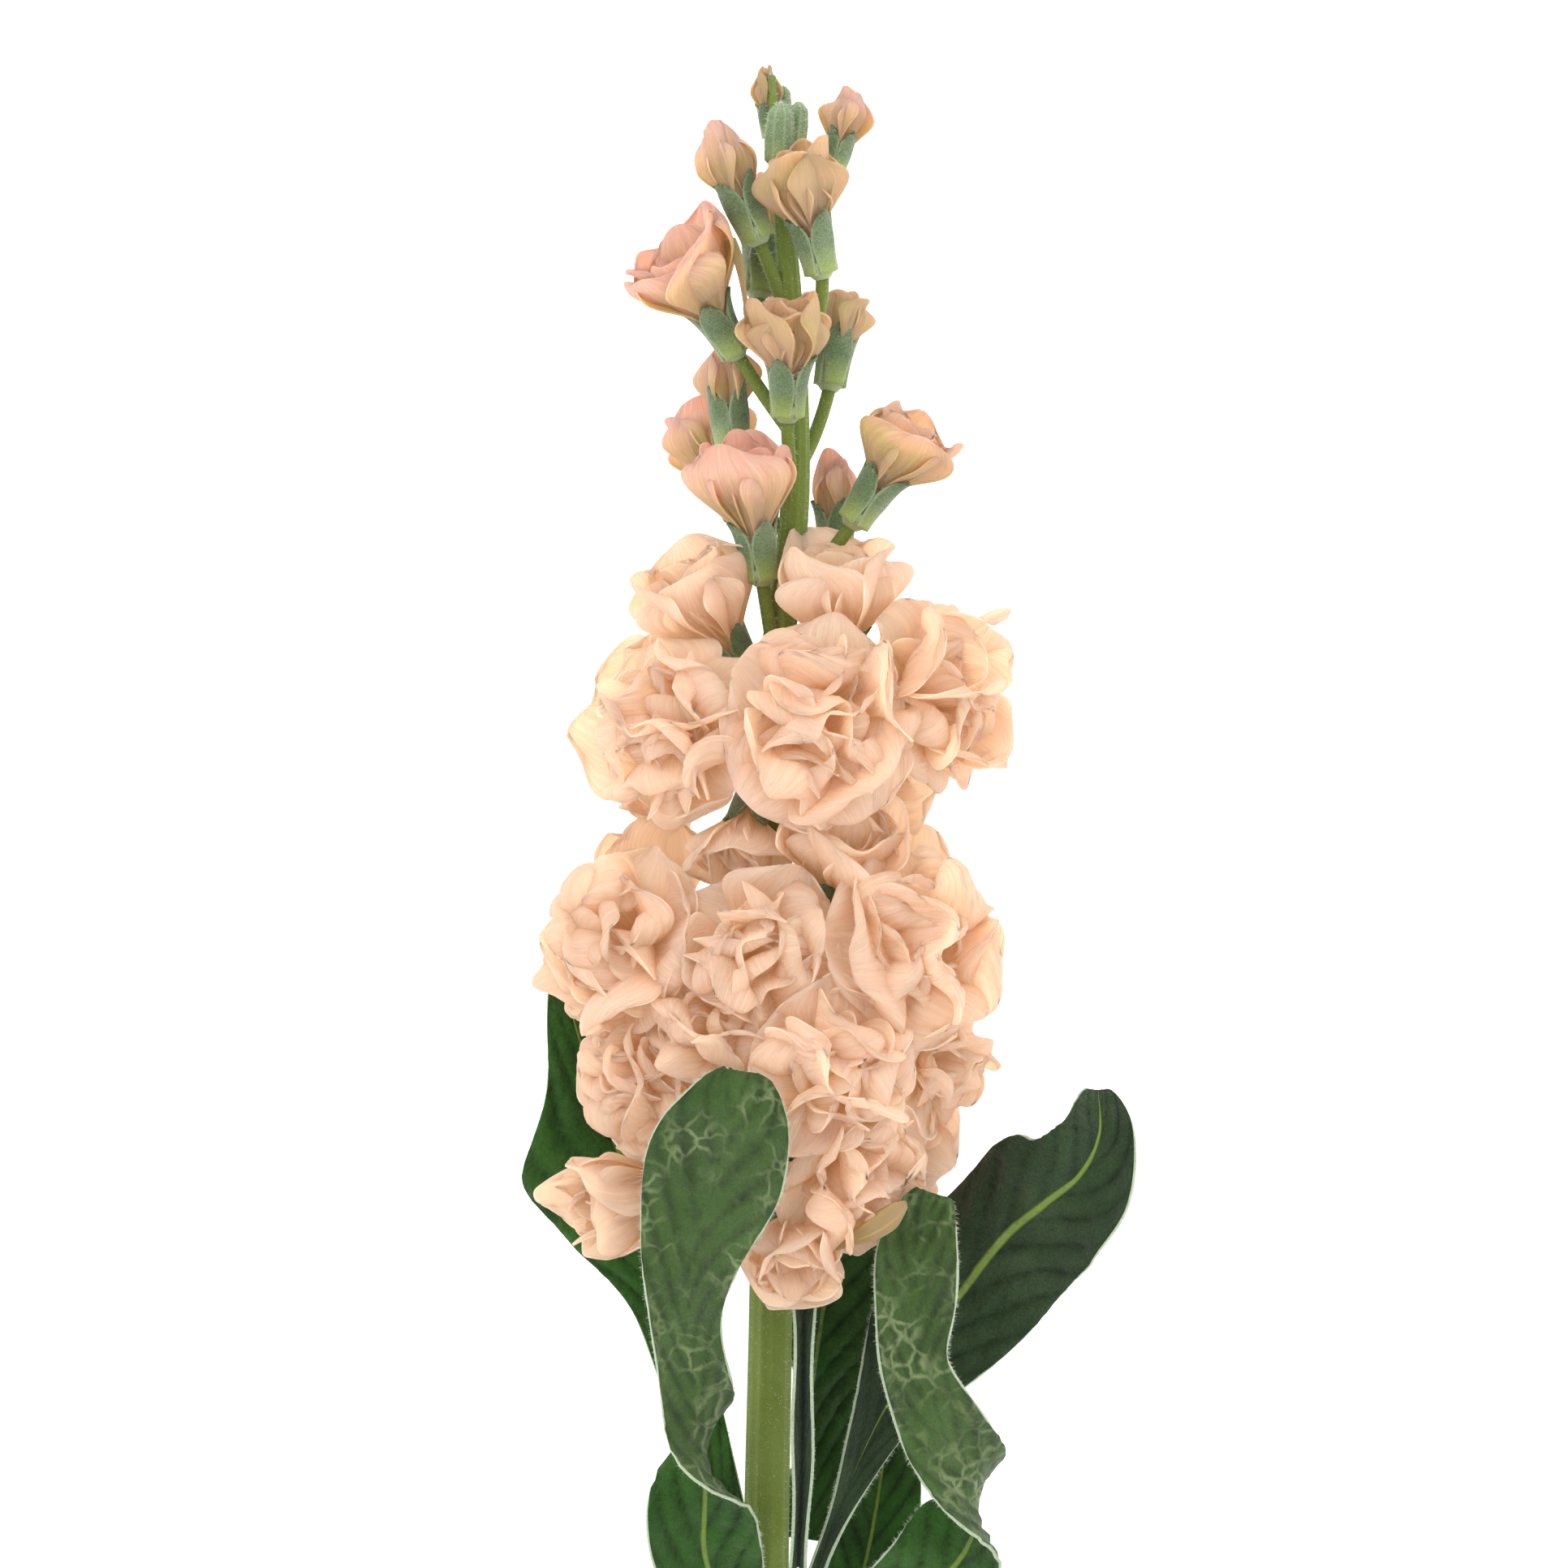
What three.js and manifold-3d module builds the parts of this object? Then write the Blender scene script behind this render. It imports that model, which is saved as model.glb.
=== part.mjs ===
// A cut stem of double apricot stock (Matthiola incana), lying on a table on its back.
// The side that shows in a portrait of the flower faces up. Units are millimetres:
// X runs across the stem, Y up the stem from its cut end and Z up from the table.
import * as THREE from "three";
import { mergeVertices } from "three/addons/utils/BufferGeometryUtils.js";
import Module from "manifold-3d";

const wasm = await Module();
wasm.setup();

// Driving dimensions
const stemLength = 424;
const pedicelRadius = 1.4;
const pedicelRise = 17;
const petalThick = 0.8;
const sepalThick = 0.8;
const sepalFrom = 0.45;
const leafThick = 0.9;
const tipFrom = 0.8;
const gap = 0.35;
const pressDepth = 3;
const cupRadius = 3.5;
const bundleRadius = 2.3;
const tableDip = 0.12;
const petalScraps = 0.15;
const stemScraps = 0.1;
const leafScraps = 0.02;
const tooClose = 0.001;
const tooSlim = 0.002;

// The stem at even steps of height: x and z of its middle, and its radius.
// It arches, so the flower head and the cut end both lie on the table.
const stemStations = [
  [-3, 4.7, 4.7],
  [-2.4, 6.9, 4.6],
  [-2, 11.5, 4.6],
  [-1.7, 17.8, 4.5],
  [-0.9, 24.5, 4.3],
  [-0.4, 30, 4.1],
  [-0.2, 33, 3.8],
  [-0.3, 34.5, 3.4],
  [4.2, 34.5, 2.8],
  [2.8, 33, 2.4],
  [-0.8, 30.5, 0.9],
];

// A flower stands on its calyx: four sepals round the bundle of its petals' claws. Above their tips
// the petals part, in rings of four, round a furled heart. Angles are in degrees: lean is how far
// a petal opens from the flower's axis, curl how much further its tip turns, cup how far its sides
// bend in. The heart's size is given in petal lengths.
const kinds = {
  bud: {
    rings: [{ count: 2, lean: 13, curl: -12, cup: 74, length: 1, width: 0.9, ruffle: 0.3 }],
    heart: { height: 0.86, radius: 0.28, furled: true },
    reach: 0.34,
    sepal: { height: 13, lean: 15 },
  },
  half: {
    rings: [{ count: 4, lean: 42, curl: -36, cup: 52, length: 1, width: 1, ruffle: 1 }],
    heart: { height: 0.6, radius: 0.17, furled: false },
    reach: 0.5,
    sepal: { height: 13, lean: 22 },
  },
  open: {
    rings: [{ count: 4, lean: 76, curl: -6, cup: 24, length: 1, width: 1, ruffle: 1.6 }],
    heart: { height: 0.6, radius: 0.27, furled: true },
    reach: 0.74,
    sepal: { height: 9, lean: 10 },
  },
  bloom: {
    rings: [
      { count: 4, lean: 84, curl: 8, cup: 20, length: 1, width: 1, ruffle: 1.6 },
      { count: 3, lean: 42, curl: -14, cup: 40, length: 0.78, width: 0.7, ruffle: 1.3, rows: 2 },
    ],
    heart: { height: 0.42, radius: 0.15, furled: false },
    reach: 0.74,
    sepal: { height: 9, lean: 10 },
  },
};

// Each flower: its kind, the foot of its calyx, the way it faces, and its petals' length and width.
const flowers = [
  { name: "bud_top", kind: "bud", foot: [-0.6, 411, 29], face: [-0.1, 1, 0.05], length: 8.5, width: 5, small: 0.55 },
  { name: "flower_01", kind: "bud", foot: [-3.1, 389.5, 36], face: [-0.39, 0.92, 0.1], length: 16, width: 12 },
  { name: "flower_02", kind: "bud", foot: [11.3, 403.3, 31], face: [0.25, 0.95, 0], length: 10, width: 10, small: 0.7 },
  { name: "flower_03", kind: "half", foot: [9.6, 382.4, 39], face: [-0.22, 0.95, 0.2], length: 16, width: 14.5 },
  { name: "flower_04", kind: "half", foot: [-7.5, 366.5, 36], face: [-0.5, 0.82, 0.3], length: 20, width: 16.5 },
  { name: "flower_05", kind: "bud", foot: [11, 360.1, 28], face: [0.15, 0.98, -0.1], length: 9, width: 11 },
  { name: "flower_06", kind: "half", foot: [2.5, 353.2, 41], face: [0.02, 0.96, 0.25], length: 14, width: 14.5 },
  { name: "flower_07", kind: "bud", foot: [-8.5, 346.5, 30], face: [-0.1, 0.99, 0], length: 11, width: 12 },
  { name: "flower_08", kind: "half", foot: [15.3, 332, 37], face: [0.55, 0.83, 0.15], length: 16, width: 15.5 },
  { name: "flower_09", kind: "half", foot: [-2.5, 320.2, 41], face: [-0.15, 0.95, 0.25], length: 20.5, width: 16.5 },
  { name: "flower_10", kind: "bud", foot: [12.4, 323, 26], face: [0, 0.98, -0.1], length: 13, width: 11 },
  { name: "flower_11", kind: "half", foot: [-7, 334, 24], face: [-0.35, 0.85, -0.4], length: 15, width: 14.5 },
  { name: "flower_12", kind: "bud", foot: [3, 358, 24], face: [0, 0.95, -0.3], length: 13, width: 11 },
  { name: "flower_13", kind: "bud", foot: [-3.6, 379, 27], face: [0.08, 0.97, -0.15], length: 13, width: 9 },
  { name: "bloom_01", kind: "half", foot: [-4.5, 300.5, 34], face: [-0.5, 0.8, 0.3], length: 21, width: 24 },
  { name: "bloom_02", kind: "half", foot: [13.5, 298, 38], face: [-0.02, 0.95, 0.25], length: 22, width: 25 },
  { name: "bloom_03", kind: "bloom", foot: [19.1, 294.5, 35], face: [0.75, 0.2, 0.6], length: 26, width: 26 },
  { name: "bloom_04", kind: "bloom", foot: [-11, 288.5, 37], face: [-0.45, 0.1, 0.86], length: 24, width: 26 },
  { name: "bloom_05", kind: "bloom", foot: [5.5, 289, 45], face: [0.22, 0.1, 0.97], length: 26, width: 27 },
  { name: "bloom_06", kind: "half", foot: [-3.5, 281, 40], face: [-0.2, -0.84, 0.5], length: 15, width: 15 },
  { name: "bloom_07", kind: "half", foot: [9.5, 252, 37], face: [0.2, 0.75, 0.6], length: 21, width: 24 },
  { name: "bloom_08", kind: "bloom", foot: [18, 246.3, 37], face: [0.5, 0.05, 0.86], length: 28, width: 28 },
  { name: "bloom_09", kind: "bloom", foot: [-17.5, 245.5, 34], face: [-0.75, 0.1, 0.65], length: 27, width: 26 },
  { name: "bloom_10", kind: "open", foot: [-2, 244, 42], face: [-0.1, 0.1, 0.99], length: 23, width: 23 },
  { name: "bloom_11", kind: "open", foot: [9, 224, 45], face: [0.15, -0.1, 0.98], length: 23, width: 25 },
  { name: "bloom_12", kind: "bloom", foot: [-15.5, 221, 33], face: [-0.76, -0.1, 0.6], length: 22, width: 23 },
  { name: "bloom_13", kind: "open", foot: [-7.5, 228.5, 40], face: [-0.3, 0.1, 0.93], length: 20, width: 20 },
  { name: "bloom_14", kind: "open", foot: [8, 206, 36], face: [0.45, -0.25, 0.85], length: 24, width: 24 },
  { name: "bloom_15", kind: "half", foot: [3.3, 199, 37], face: [0.03, -0.78, 0.62], length: 20, width: 20 },
  { name: "bloom_16", kind: "open", foot: [19.5, 224, 28], face: [0.9, -0.1, 0.35], length: 20, width: 20 },
  { name: "bloom_17", kind: "half", foot: [-13.7, 203, 33], face: [-0.8, -0.35, 0.42], length: 24, width: 18 },
  { name: "bloom_18", kind: "open", foot: [-9, 289, 26], face: [-0.75, 0.1, -0.66], length: 27, width: 25 },
  { name: "bloom_19", kind: "open", foot: [7, 282, 25], face: [0.6, 0.05, -0.78], length: 28, width: 26 },
  { name: "bloom_20", kind: "open", foot: [-11, 250, 25], face: [-0.75, 0, -0.66], length: 28, width: 26 },
  { name: "bloom_21", kind: "open", foot: [10, 254, 25], face: [0.72, 0.05, -0.66], length: 28, width: 26 },
  { name: "bloom_22", kind: "open", foot: [-3, 218, 25], face: [-0.25, -0.2, -0.92], length: 27, width: 25 },
  { name: "bloom_23", kind: "open", foot: [11, 210, 25], face: [0.75, -0.25, -0.6], length: 26, width: 24 },
];

// Closed green buds at the very top: foot, direction, length and radius. They grow as one with the stem.
const closedBuds = [
  { foot: [0.7, 405, 34.5], face: [0.05, 1, 0.05], length: 13, radius: 3 },
  { foot: [4, 409.5, 32], face: [0.1, 1, 0], length: 9, radius: 2.2 },
  { foot: [1.6, 415, 28], face: [0.02, 1, -0.05], length: 7, radius: 1.6 },
];

// Each leaf's midrib from the stem out, station by station: x, y, z, the width of each half, then for
// the right and the left half the angle that it leaves the midrib at, and the angle that each bends by
// on its way to the margin. An angle of 0 points right, 90 up from the table and 180 left.
const leaves = [
  {
    name: "leaf_front_left",
    stations: [
      [-6.5, 96, 15, 6, 10, 170, 30, -30],
      [-11, 110, 21, 10, 0, 180, 40, -45],
      [-14.5, 123, 26, 12.5, 0, 180, 35, -60],
      [-14, 136, 31, 12, 35, 215, 20, -40],
      [-14.5, 148, 37, 9.5, 130, 300, 0, 0],
      [-16.5, 160, 43, 7.5, 172, 350, -20, 30],
      [-18, 173, 50, 7.5, 182, 358, -30, 30],
      [-16.5, 187, 57, 10.8, 184, 360, -25, 25],
      [-12.5, 201, 63, 14.2, 184, 362, -20, 20],
      [-8.5, 213, 67, 13.6, 184, 362, -15, 15],
      [-6.5, 222.5, 68, 11, 182, 360, -5, 5],
    ],
    waves: 3, wave: 0.8, tip: 0.35,
  },
  {
    name: "leaf_back_left",
    stations: [
      [-7, 112, 13, 5, -20, 200, 20, -20],
      [-11, 128, 11, 5, -10, 190, 20, -20],
      [-15, 144, 10, 5.5, 0, 180, 15, -20],
      [-19, 160, 9, 6, 5, 175, 12, -15],
      [-23, 175, 9, 8, 8, 172, 12, 10],
      [-27.5, 190, 9.5, 16, 10, 170, 12, 15],
      [-32.2, 205, 10, 21.5, 12, 168, 10, 15],
      [-37.5, 219, 11, 10.5, 12, 165, 10, 15],
      [-42, 233, 12, 5, 10, 160, 10, 20],
      [-42.5, 246, 13, 4, 10, 160, 10, -10],
      [-40.4, 257, 14, 3, 5, 175, 0, 0],
    ],
    waves: 2.5, wave: 0.8, tip: 0.3,
  },
  {
    name: "leaf_front_right",
    stations: [
      [6, 88, 14, 6, 0, 180, 20, -20],
      [16, 99, 19, 9, -8, 188, 30, -30],
      [27, 110, 23, 12, -5, 180, 30, -30],
      [36, 119, 27, 13, 5, 190, 25, -30],
      [41, 128, 31, 12, 60, 240, 15, -20],
      [39.5, 138, 36, 10, 140, 315, -10, 20],
      [33.5, 149, 40, 9.2, 172, 350, -30, 30],
      [28, 162, 43, 7.4, 178, 356, -40, 40],
      [28.3, 175, 45, 8.8, 180, 360, -40, 40],
      [29, 187, 46, 9.2, 182, 362, -30, 30],
      [32, 197, 46, 7.5, 180, 360, 0, 0],
    ],
    waves: 4, wave: 0.9, tip: 0.5,
  },
  {
    name: "leaf_right",
    stations: [
      [5.5, 106, 20, 3, 40, 140, 10, -10],
      [9.5, 121, 22, 3, 40, 140, 10, -10],
      [15, 136, 24, 4, 35, 140, 10, -10],
      [21.5, 150, 24, 7, 20, 150, 20, -15],
      [30, 164, 23, 12.5, 0, 170, 20, 10],
      [38.5, 176, 23, 16, -5, 190, 20, 30],
      [47, 187, 25, 17, -8, 195, 30, 40],
      [55, 194, 28, 16, -8, 165, 40, 50],
      [62, 200, 30, 14, 0, 140, 55, 40],
      [66, 208, 30, 10, 10, 150, 50, 20],
      [66, 217, 27, 6, 20, 160, 0, 0],
    ],
    waves: 3, wave: 1.2, tip: 0.4,
  },
  {
    name: "leaf_back_right",
    stations: [
      [4.5, 124, 11, 5, -20, 200, 20, -20],
      [6.5, 140, 9, 8, -20, 120, 20, -20],
      [7.5, 156, 8, 11, -30, 110, 20, -20],
      [10, 172, 8.5, 12, 5, 150, 25, 30],
      [13.5, 187, 9.5, 11, 10, 165, 20, 20],
      [16.5, 198, 10, 8, 5, 175, 10, -10],
      [18.5, 206, 11, 4, 0, 180, 0, 0],
    ],
    waves: 3, wave: 1, tip: 0.35,
  },
  {
    name: "leaf_narrow",
    stations: [
      [4.6, 120, 28, 4, 66, 108, 0, 0],
      [5.3, 136, 31.5, 5, 68, 110, 0, 0],
      [5.7, 152, 34, 5.5, 70, 110, 0, 0],
      [5.8, 170, 36.5, 5, 66, 114, 0, 0],
      [5.8, 186, 38, 3, 46, 134, 0, 0],
    ],
    waves: 2, wave: 0.3, tip: 0.4,
  },
  {
    name: "leaf_low_left",
    stations: [
      [-7.5, 55, 9.5, 5, 0, 180, 30, -30],
      [-15, 65, 12, 9, -5, 185, 30, -30],
      [-25, 78, 11.5, 11, -8, 188, 15, -15],
      [-33.5, 92, 7, 9, -12, 192, 10, -10],
      [-38, 107, 2.4, 3, -8, 188, 0, 0],
    ],
    waves: 2, wave: 1, tip: 0.4,
  },
  {
    name: "leaf_inner_right",
    stations: [
      [3, 66, 12, 4, 0, 180, 20, -20],
      [8, 84, 15, 7, 10, 180, 20, -20],
      [13.5, 102, 16, 9, 15, 175, 20, -20],
      [18.5, 119, 16, 10, 15, 170, 15, -15],
      [21.5, 135, 15, 9, 15, 170, 10, -10],
      [23.5, 151, 14, 4, 10, 175, 0, 0],
    ],
    waves: 2, wave: 0.8, tip: 0.4,
  },
];

const green = { color: 0x5d8a45, roughness: 0.8, metalness: 0 };
const hoary = { color: 0x6f8a6b, roughness: 0.9, metalness: 0 };
const darkGreen = { color: 0x38593a, roughness: 0.75, metalness: 0 };
const apricot = { color: 0xf7cdae, roughness: 0.7, metalness: 0 };

const hasOwnCalyx = (flower) => flower.name.startsWith("flower");
const radians = (degrees) => (degrees * Math.PI) / 180;
const smooth = (x) => {
  const s = Math.min(Math.max(x, 0), 1);
  return s * s * (3 - 2 * s);
};

// A seeded random draw from 0 to 1: the same numbers every time.
function draw(seed, n) {
  const s = Math.sin(seed * 127.1 + n * 311.7) * 43758.5453;
  return s - Math.floor(s);
}

// Values read at t, from 0 to 1, along evenly spaced stations.
function along(stations, t) {
  const last = stations.length - 1;
  const place = Math.min(Math.max(t, 0), 1) * last;
  const i = Math.min(Math.floor(place), last - 1);
  const f = place - i;
  const near = [i - 1, i, i + 1, i + 2].map((k) => stations[Math.min(Math.max(k, 0), last)]);
  return near[1].map((_, c) => {
    const [a, b, d, e] = near.map((s) => s[c]);
    return b + 0.5 * f * (d - a + f * (2 * a - 5 * b + 4 * d - e + f * (3 * (b - d) + e - a)));
  });
}

function stemAt(height) {
  const [x, z, radius] = along(stemStations, height / stemLength);
  return { middle: new THREE.Vector3(x, height, z), radius };
}

// The solid of a closed mesh, given as points and triangles.
function solidOf(points, faces) {
  const vertProperties = new Float32Array(points.flatMap((p) => [p.x, p.y, p.z]));
  const triVerts = new Uint32Array(faces.flat());
  return new wasm.Manifold(new wasm.Mesh({ numProp: 3, vertProperties, triVerts }));
}

function solidOfGeometry(geometry) {
  geometry.deleteAttribute("normal");
  geometry.deleteAttribute("uv");
  const merged = mergeVertices(geometry, 1e-4);
  const vertProperties = new Float32Array(merged.attributes.position.array);
  const triVerts = new Uint32Array(merged.index.array);
  return new wasm.Manifold(new wasm.Mesh({ numProp: 3, vertProperties, triVerts }));
}

// A thin blade round a grid of points. A first row of one point is a pointed root.
function blade(grid, thickness) {
  const columns = grid[1].length;
  const starts = grid.map((_, i) => grid.slice(0, i).reduce((sum, row) => sum + row.length, 0));
  const at = (i, j) => starts[i] + (grid[i].length === 1 ? 0 : j);
  const sheet = [];
  for (let i = 0; i < grid.length - 1; i++) {
    for (let j = 0; j < columns - 1; j++) {
      sheet.push([at(i, j), at(i + 1, j), at(i + 1, j + 1)], [at(i, j), at(i + 1, j + 1), at(i, j + 1)]);
    }
  }
  // Each point moves to both sides along the mean normal of the faces round it.
  const middles = grid.flat();
  const normals = middles.map(() => new THREE.Vector3());
  sheet.forEach(([a, b, c]) => {
    const normal = middles[b].clone().sub(middles[a]).cross(middles[c].clone().sub(middles[a]));
    [a, b, c].forEach((k) => normals[k].add(normal));
  });
  const pointed = grid[0].length === 1;
  const points = middles.flatMap((p, k) => {
    const half = normals[k].setLength(pointed && k === 0 ? 0 : thickness / 2);
    return [p.clone().add(half), p.clone().sub(half)];
  });
  const front = (k) => 2 * k;
  const back = (k) => (pointed && k === 0 ? 0 : 2 * k + 1);
  const faces = sheet.flatMap(([a, b, c]) => [[front(a), front(b), front(c)], [back(a), back(c), back(b)]]);
  const rim = (a, b) => faces.push([front(a), back(a), back(b)], [front(a), back(b), front(b)]);
  const end = grid.length - 1;
  for (let i = 0; i < end; i++) {
    rim(at(i, 0), at(i + 1, 0));
    rim(at(i + 1, columns - 1), at(i, columns - 1));
  }
  for (let j = 0; j < columns - 1; j++) {
    rim(at(end, j), at(end, j + 1));
    if (!pointed) rim(at(0, j + 1), at(0, j));
  }
  const whole = faces.filter(([a, b, c]) => a !== b && b !== c && a !== c);
  const made = solidOf(points, whole);
  return made.volume() < 0 ? solidOf(points, whole.map(([a, b, c]) => [a, c, b])) : made;
}

// A round rod of changing radius through a list of middles, with flat ends.
function rod(middles, radii, sides) {
  const points = [];
  middles.forEach((middle, i) => {
    const ahead = middles[Math.min(i + 1, middles.length - 1)];
    const behind = middles[Math.max(i - 1, 0)];
    const way = ahead.clone().sub(behind).normalize();
    const side = new THREE.Vector3().crossVectors(way, new THREE.Vector3(0.3, 0.2, 1)).normalize();
    const up = new THREE.Vector3().crossVectors(side, way);
    for (let k = 0; k < sides; k++) {
      const angle = (2 * Math.PI * k) / sides;
      const out = side.clone().multiplyScalar(Math.cos(angle)).addScaledVector(up, Math.sin(angle));
      points.push(middle.clone().addScaledVector(out, radii[i]));
    }
  });
  const first = points.push(middles[0].clone()) - 1;
  const last = points.push(middles[middles.length - 1].clone()) - 1;
  const faces = [];
  const end = (middles.length - 1) * sides;
  for (let k = 0; k < sides; k++) {
    const next = (k + 1) % sides;
    faces.push([first, next, k], [last, end + k, end + next]);
    for (let i = 0; i < middles.length - 1; i++) {
      const [a, b] = [i * sides + k, i * sides + next];
      faces.push([a, b, b + sides], [a, b + sides, a + sides]);
    }
  }
  const made = solidOf(points, faces);
  return made.volume() < 0 ? solidOf(points, faces.map(([a, b, c]) => [a, c, b])) : made;
}

// The axis of a flower and two directions square to it.
function flowerFrame(flower) {
  const axis = new THREE.Vector3(...flower.face).normalize();
  const reference = Math.abs(axis.y) < 0.9 ? new THREE.Vector3(0, 1, 0) : new THREE.Vector3(0, 0, 1);
  const u = new THREE.Vector3().crossVectors(reference, axis).normalize();
  const v = new THREE.Vector3().crossVectors(axis, u);
  return { foot: new THREE.Vector3(...flower.foot), axis, u, v };
}

// The middle line of a petal or sepal, as how far out and how far up it has got at v.
function middleLine(form, v) {
  const steps = 24;
  let out = form.rootOut;
  let up = form.rootUp;
  let lean = 0;
  for (let i = 0; i < steps; i++) {
    const share = Math.min(Math.max(v * steps - i, 0), 1);
    const at = (i + 0.5) / steps;
    const opening = smooth((at - form.claw) / form.bend);
    lean = radians(form.leanRoot + (form.lean - form.leanRoot) * opening + form.curl * at * at);
    out += (Math.sin(lean) * share * form.length) / steps;
    up += (Math.cos(lean) * share * form.length) / steps;
    if (share < 1) break;
  }
  return { out, up, lean };
}

// A point of a petal or sepal: u runs across from -1 to 1, v along from the root to the tip.
function petalPoint(frame, form, u, v) {
  const reached = v * (1 - form.round * u * u * v * v);
  const { out, up, lean } = middleLine(form, reached);
  const spread = smooth((v - form.claw * 0.6) / (form.widest - form.claw * 0.6));
  const taper = v > form.widest ? Math.sqrt(1 - form.tip * ((v - form.widest) / (1 - form.widest)) ** 2) : 1;
  const half = (form.width / 2) * (form.clawWidth + (1 - form.clawWidth) * spread) * taper;
  const bend = radians(form.cup) * (0.35 + 0.65 * v) + 1e-4;
  const side = (half * Math.sin(bend * u)) / bend;
  const edge = Math.abs(u);
  const ruffle =
    form.ruffle * v * v * (0.3 + 0.7 * edge) * Math.sin(form.waves * u + form.phase) +
    form.ruffle * 0.8 * v * v * edge * edge * Math.sin(7 * v + form.phase * 2 + (u > 0 ? form.shift : 0));
  const lift = (half * (1 - Math.cos(bend * u))) / bend + ruffle;
  const turn = radians(form.twist) * v * v;
  const across = side * Math.cos(turn) - lift * Math.sin(turn);
  const inward = side * Math.sin(turn) + lift * Math.cos(turn);
  const around = radians(form.turn);
  const radial = frame.u.clone().multiplyScalar(Math.cos(around)).addScaledVector(frame.v, Math.sin(around));
  const tangent = frame.v.clone().multiplyScalar(Math.cos(around)).addScaledVector(frame.u, -Math.sin(around));
  return frame.foot
    .clone()
    .addScaledVector(radial, out - inward * Math.cos(lean))
    .addScaledVector(frame.axis, up + inward * Math.sin(lean))
    .addScaledVector(tangent, across);
}

const turnOf = (seed) => 90 * draw(seed, 300);

// The petals of a flower, ring by ring, each a little different from the next.
function petalForms(flower, seed) {
  const scale = flower.small ?? 1;
  const { rings, sepal } = kinds[flower.kind];
  return rings.flatMap((ring, r) =>
    Array.from({ length: ring.count }, (_, k) => {
      const vary = (channel, spread) => spread * (2 * draw(seed, 40 * r + 8 * k + channel) - 1);
      const above = k % 2 === 0 ? 1.1 : 0.9;
      return {
        turn: turnOf(seed) + (360 * (k + 0.5 * r)) / ring.count + vary(0, 5),
        length: flower.length * ring.length * (1 + vary(1, 0.08)),
        width: flower.width * ring.width * (1 + vary(2, 0.1)),
        lean: ring.lean * above + vary(3, 5),
        curl: ring.curl + vary(4, 10),
        cup: ring.cup + vary(5, 10),
        phase: 3 * vary(6, 1),
        twist: vary(7, 12),
        ruffle: ring.ruffle * scale,
        shift: 2.4,
        waves: 2.6,
        round: 0.1,
        tip: 0.6,
        claw: 0.08,
        clawWidth: 0.14,
        widest: 0.78,
        bend: 0.34,
        leanRoot: Math.min(8, ring.lean),
        rootOut: 1.1 * scale,
        rootUp: (sepal.height - 1.5) * scale + r * 4.4,
        layer: k % 2,
        rows: ring.rows ?? 3,
      };
    }),
  );
}

// Flat walls between a flower and its neighbours, halfway between their petals, and the table.
function wallsOf(index) {
  const middleOf = (flower) => {
    const { foot, axis } = flowerFrame(flower);
    const { sepal, reach } = kinds[flower.kind];
    const up = sepal.height * (flower.small ?? 1) + flower.length * (0.7 - 0.6 * reach);
    return foot.addScaledVector(axis, up);
  };
  const own = flowers[index];
  const middle = middleOf(own);
  const clear = (petalThick + gap) / 2;
  const ownReach = own.length * kinds[own.kind].reach;
  const walls = [{ at: new THREE.Vector3(0, 0, petalThick / 2 - tableDip), away: new THREE.Vector3(0, 0, -1) }];
  flowers.forEach((other, k) => {
    if (k === index) return;
    const away = middleOf(other).sub(middle);
    const apart = away.length();
    const otherReach = other.length * kinds[other.kind].reach;
    if (apart > 1.4 * (own.length + other.length)) return;
    away.normalize();
    const share = (apart * ownReach) / (ownReach + otherReach);
    walls.push({ at: middle.clone().addScaledVector(away, share - clear), away });
  });
  return walls;
}

const pastWall = (point, { at, away }) => point.clone().sub(at).dot(away);

// Closes and shortens a petal step by step until its rim stays inside the walls.
function fitted(frame, form, walls) {
  const rim = [[-1, 0.75], [1, 0.75], [-0.6, 1], [0, 1], [0.6, 1]];
  const fit = { ...form };
  for (let step = 0; step < 16; step++) {
    const worst = Math.max(...rim.flatMap(([u, v]) => walls.map((wall) => pastWall(petalPoint(frame, fit, u, v), wall))));
    if (worst < 0.5) break;
    fit.lean = Math.max(fit.lean * 0.9 - 2, 6);
    fit.length *= 0.955;
    fit.width *= 0.97;
  }
  return fit;
}

// Bends a point back from the walls that it would cross, as petals press against each other.
function pressed(point, walls, inset) {
  for (let pass = 0; pass < 4; pass++) {
    for (const wall of walls) {
      const past = pastWall(point, wall) + inset;
      if (past <= -pressDepth) continue;
      const kept = pass === 0 ? -pressDepth * Math.exp(-(past + pressDepth) / pressDepth) : Math.min(past, 0);
      point.addScaledVector(wall.away, kept - past);
    }
  }
  return point;
}

const petalRows = { 2: [0, 0.6, 1], 3: [0, 0.36, 0.72, 1] };

function petalBlade(frame, form, walls) {
  const fit = fitted(frame, form, walls);
  const inset = 1.1 * fit.layer;
  const grid = petalRows[fit.rows].map((v) =>
    (v === 0 ? [0] : [-1, 0, 1]).map((u) => pressed(petalPoint(frame, fit, u, v), walls, inset)),
  );
  return blade(grid, petalThick);
}

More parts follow.
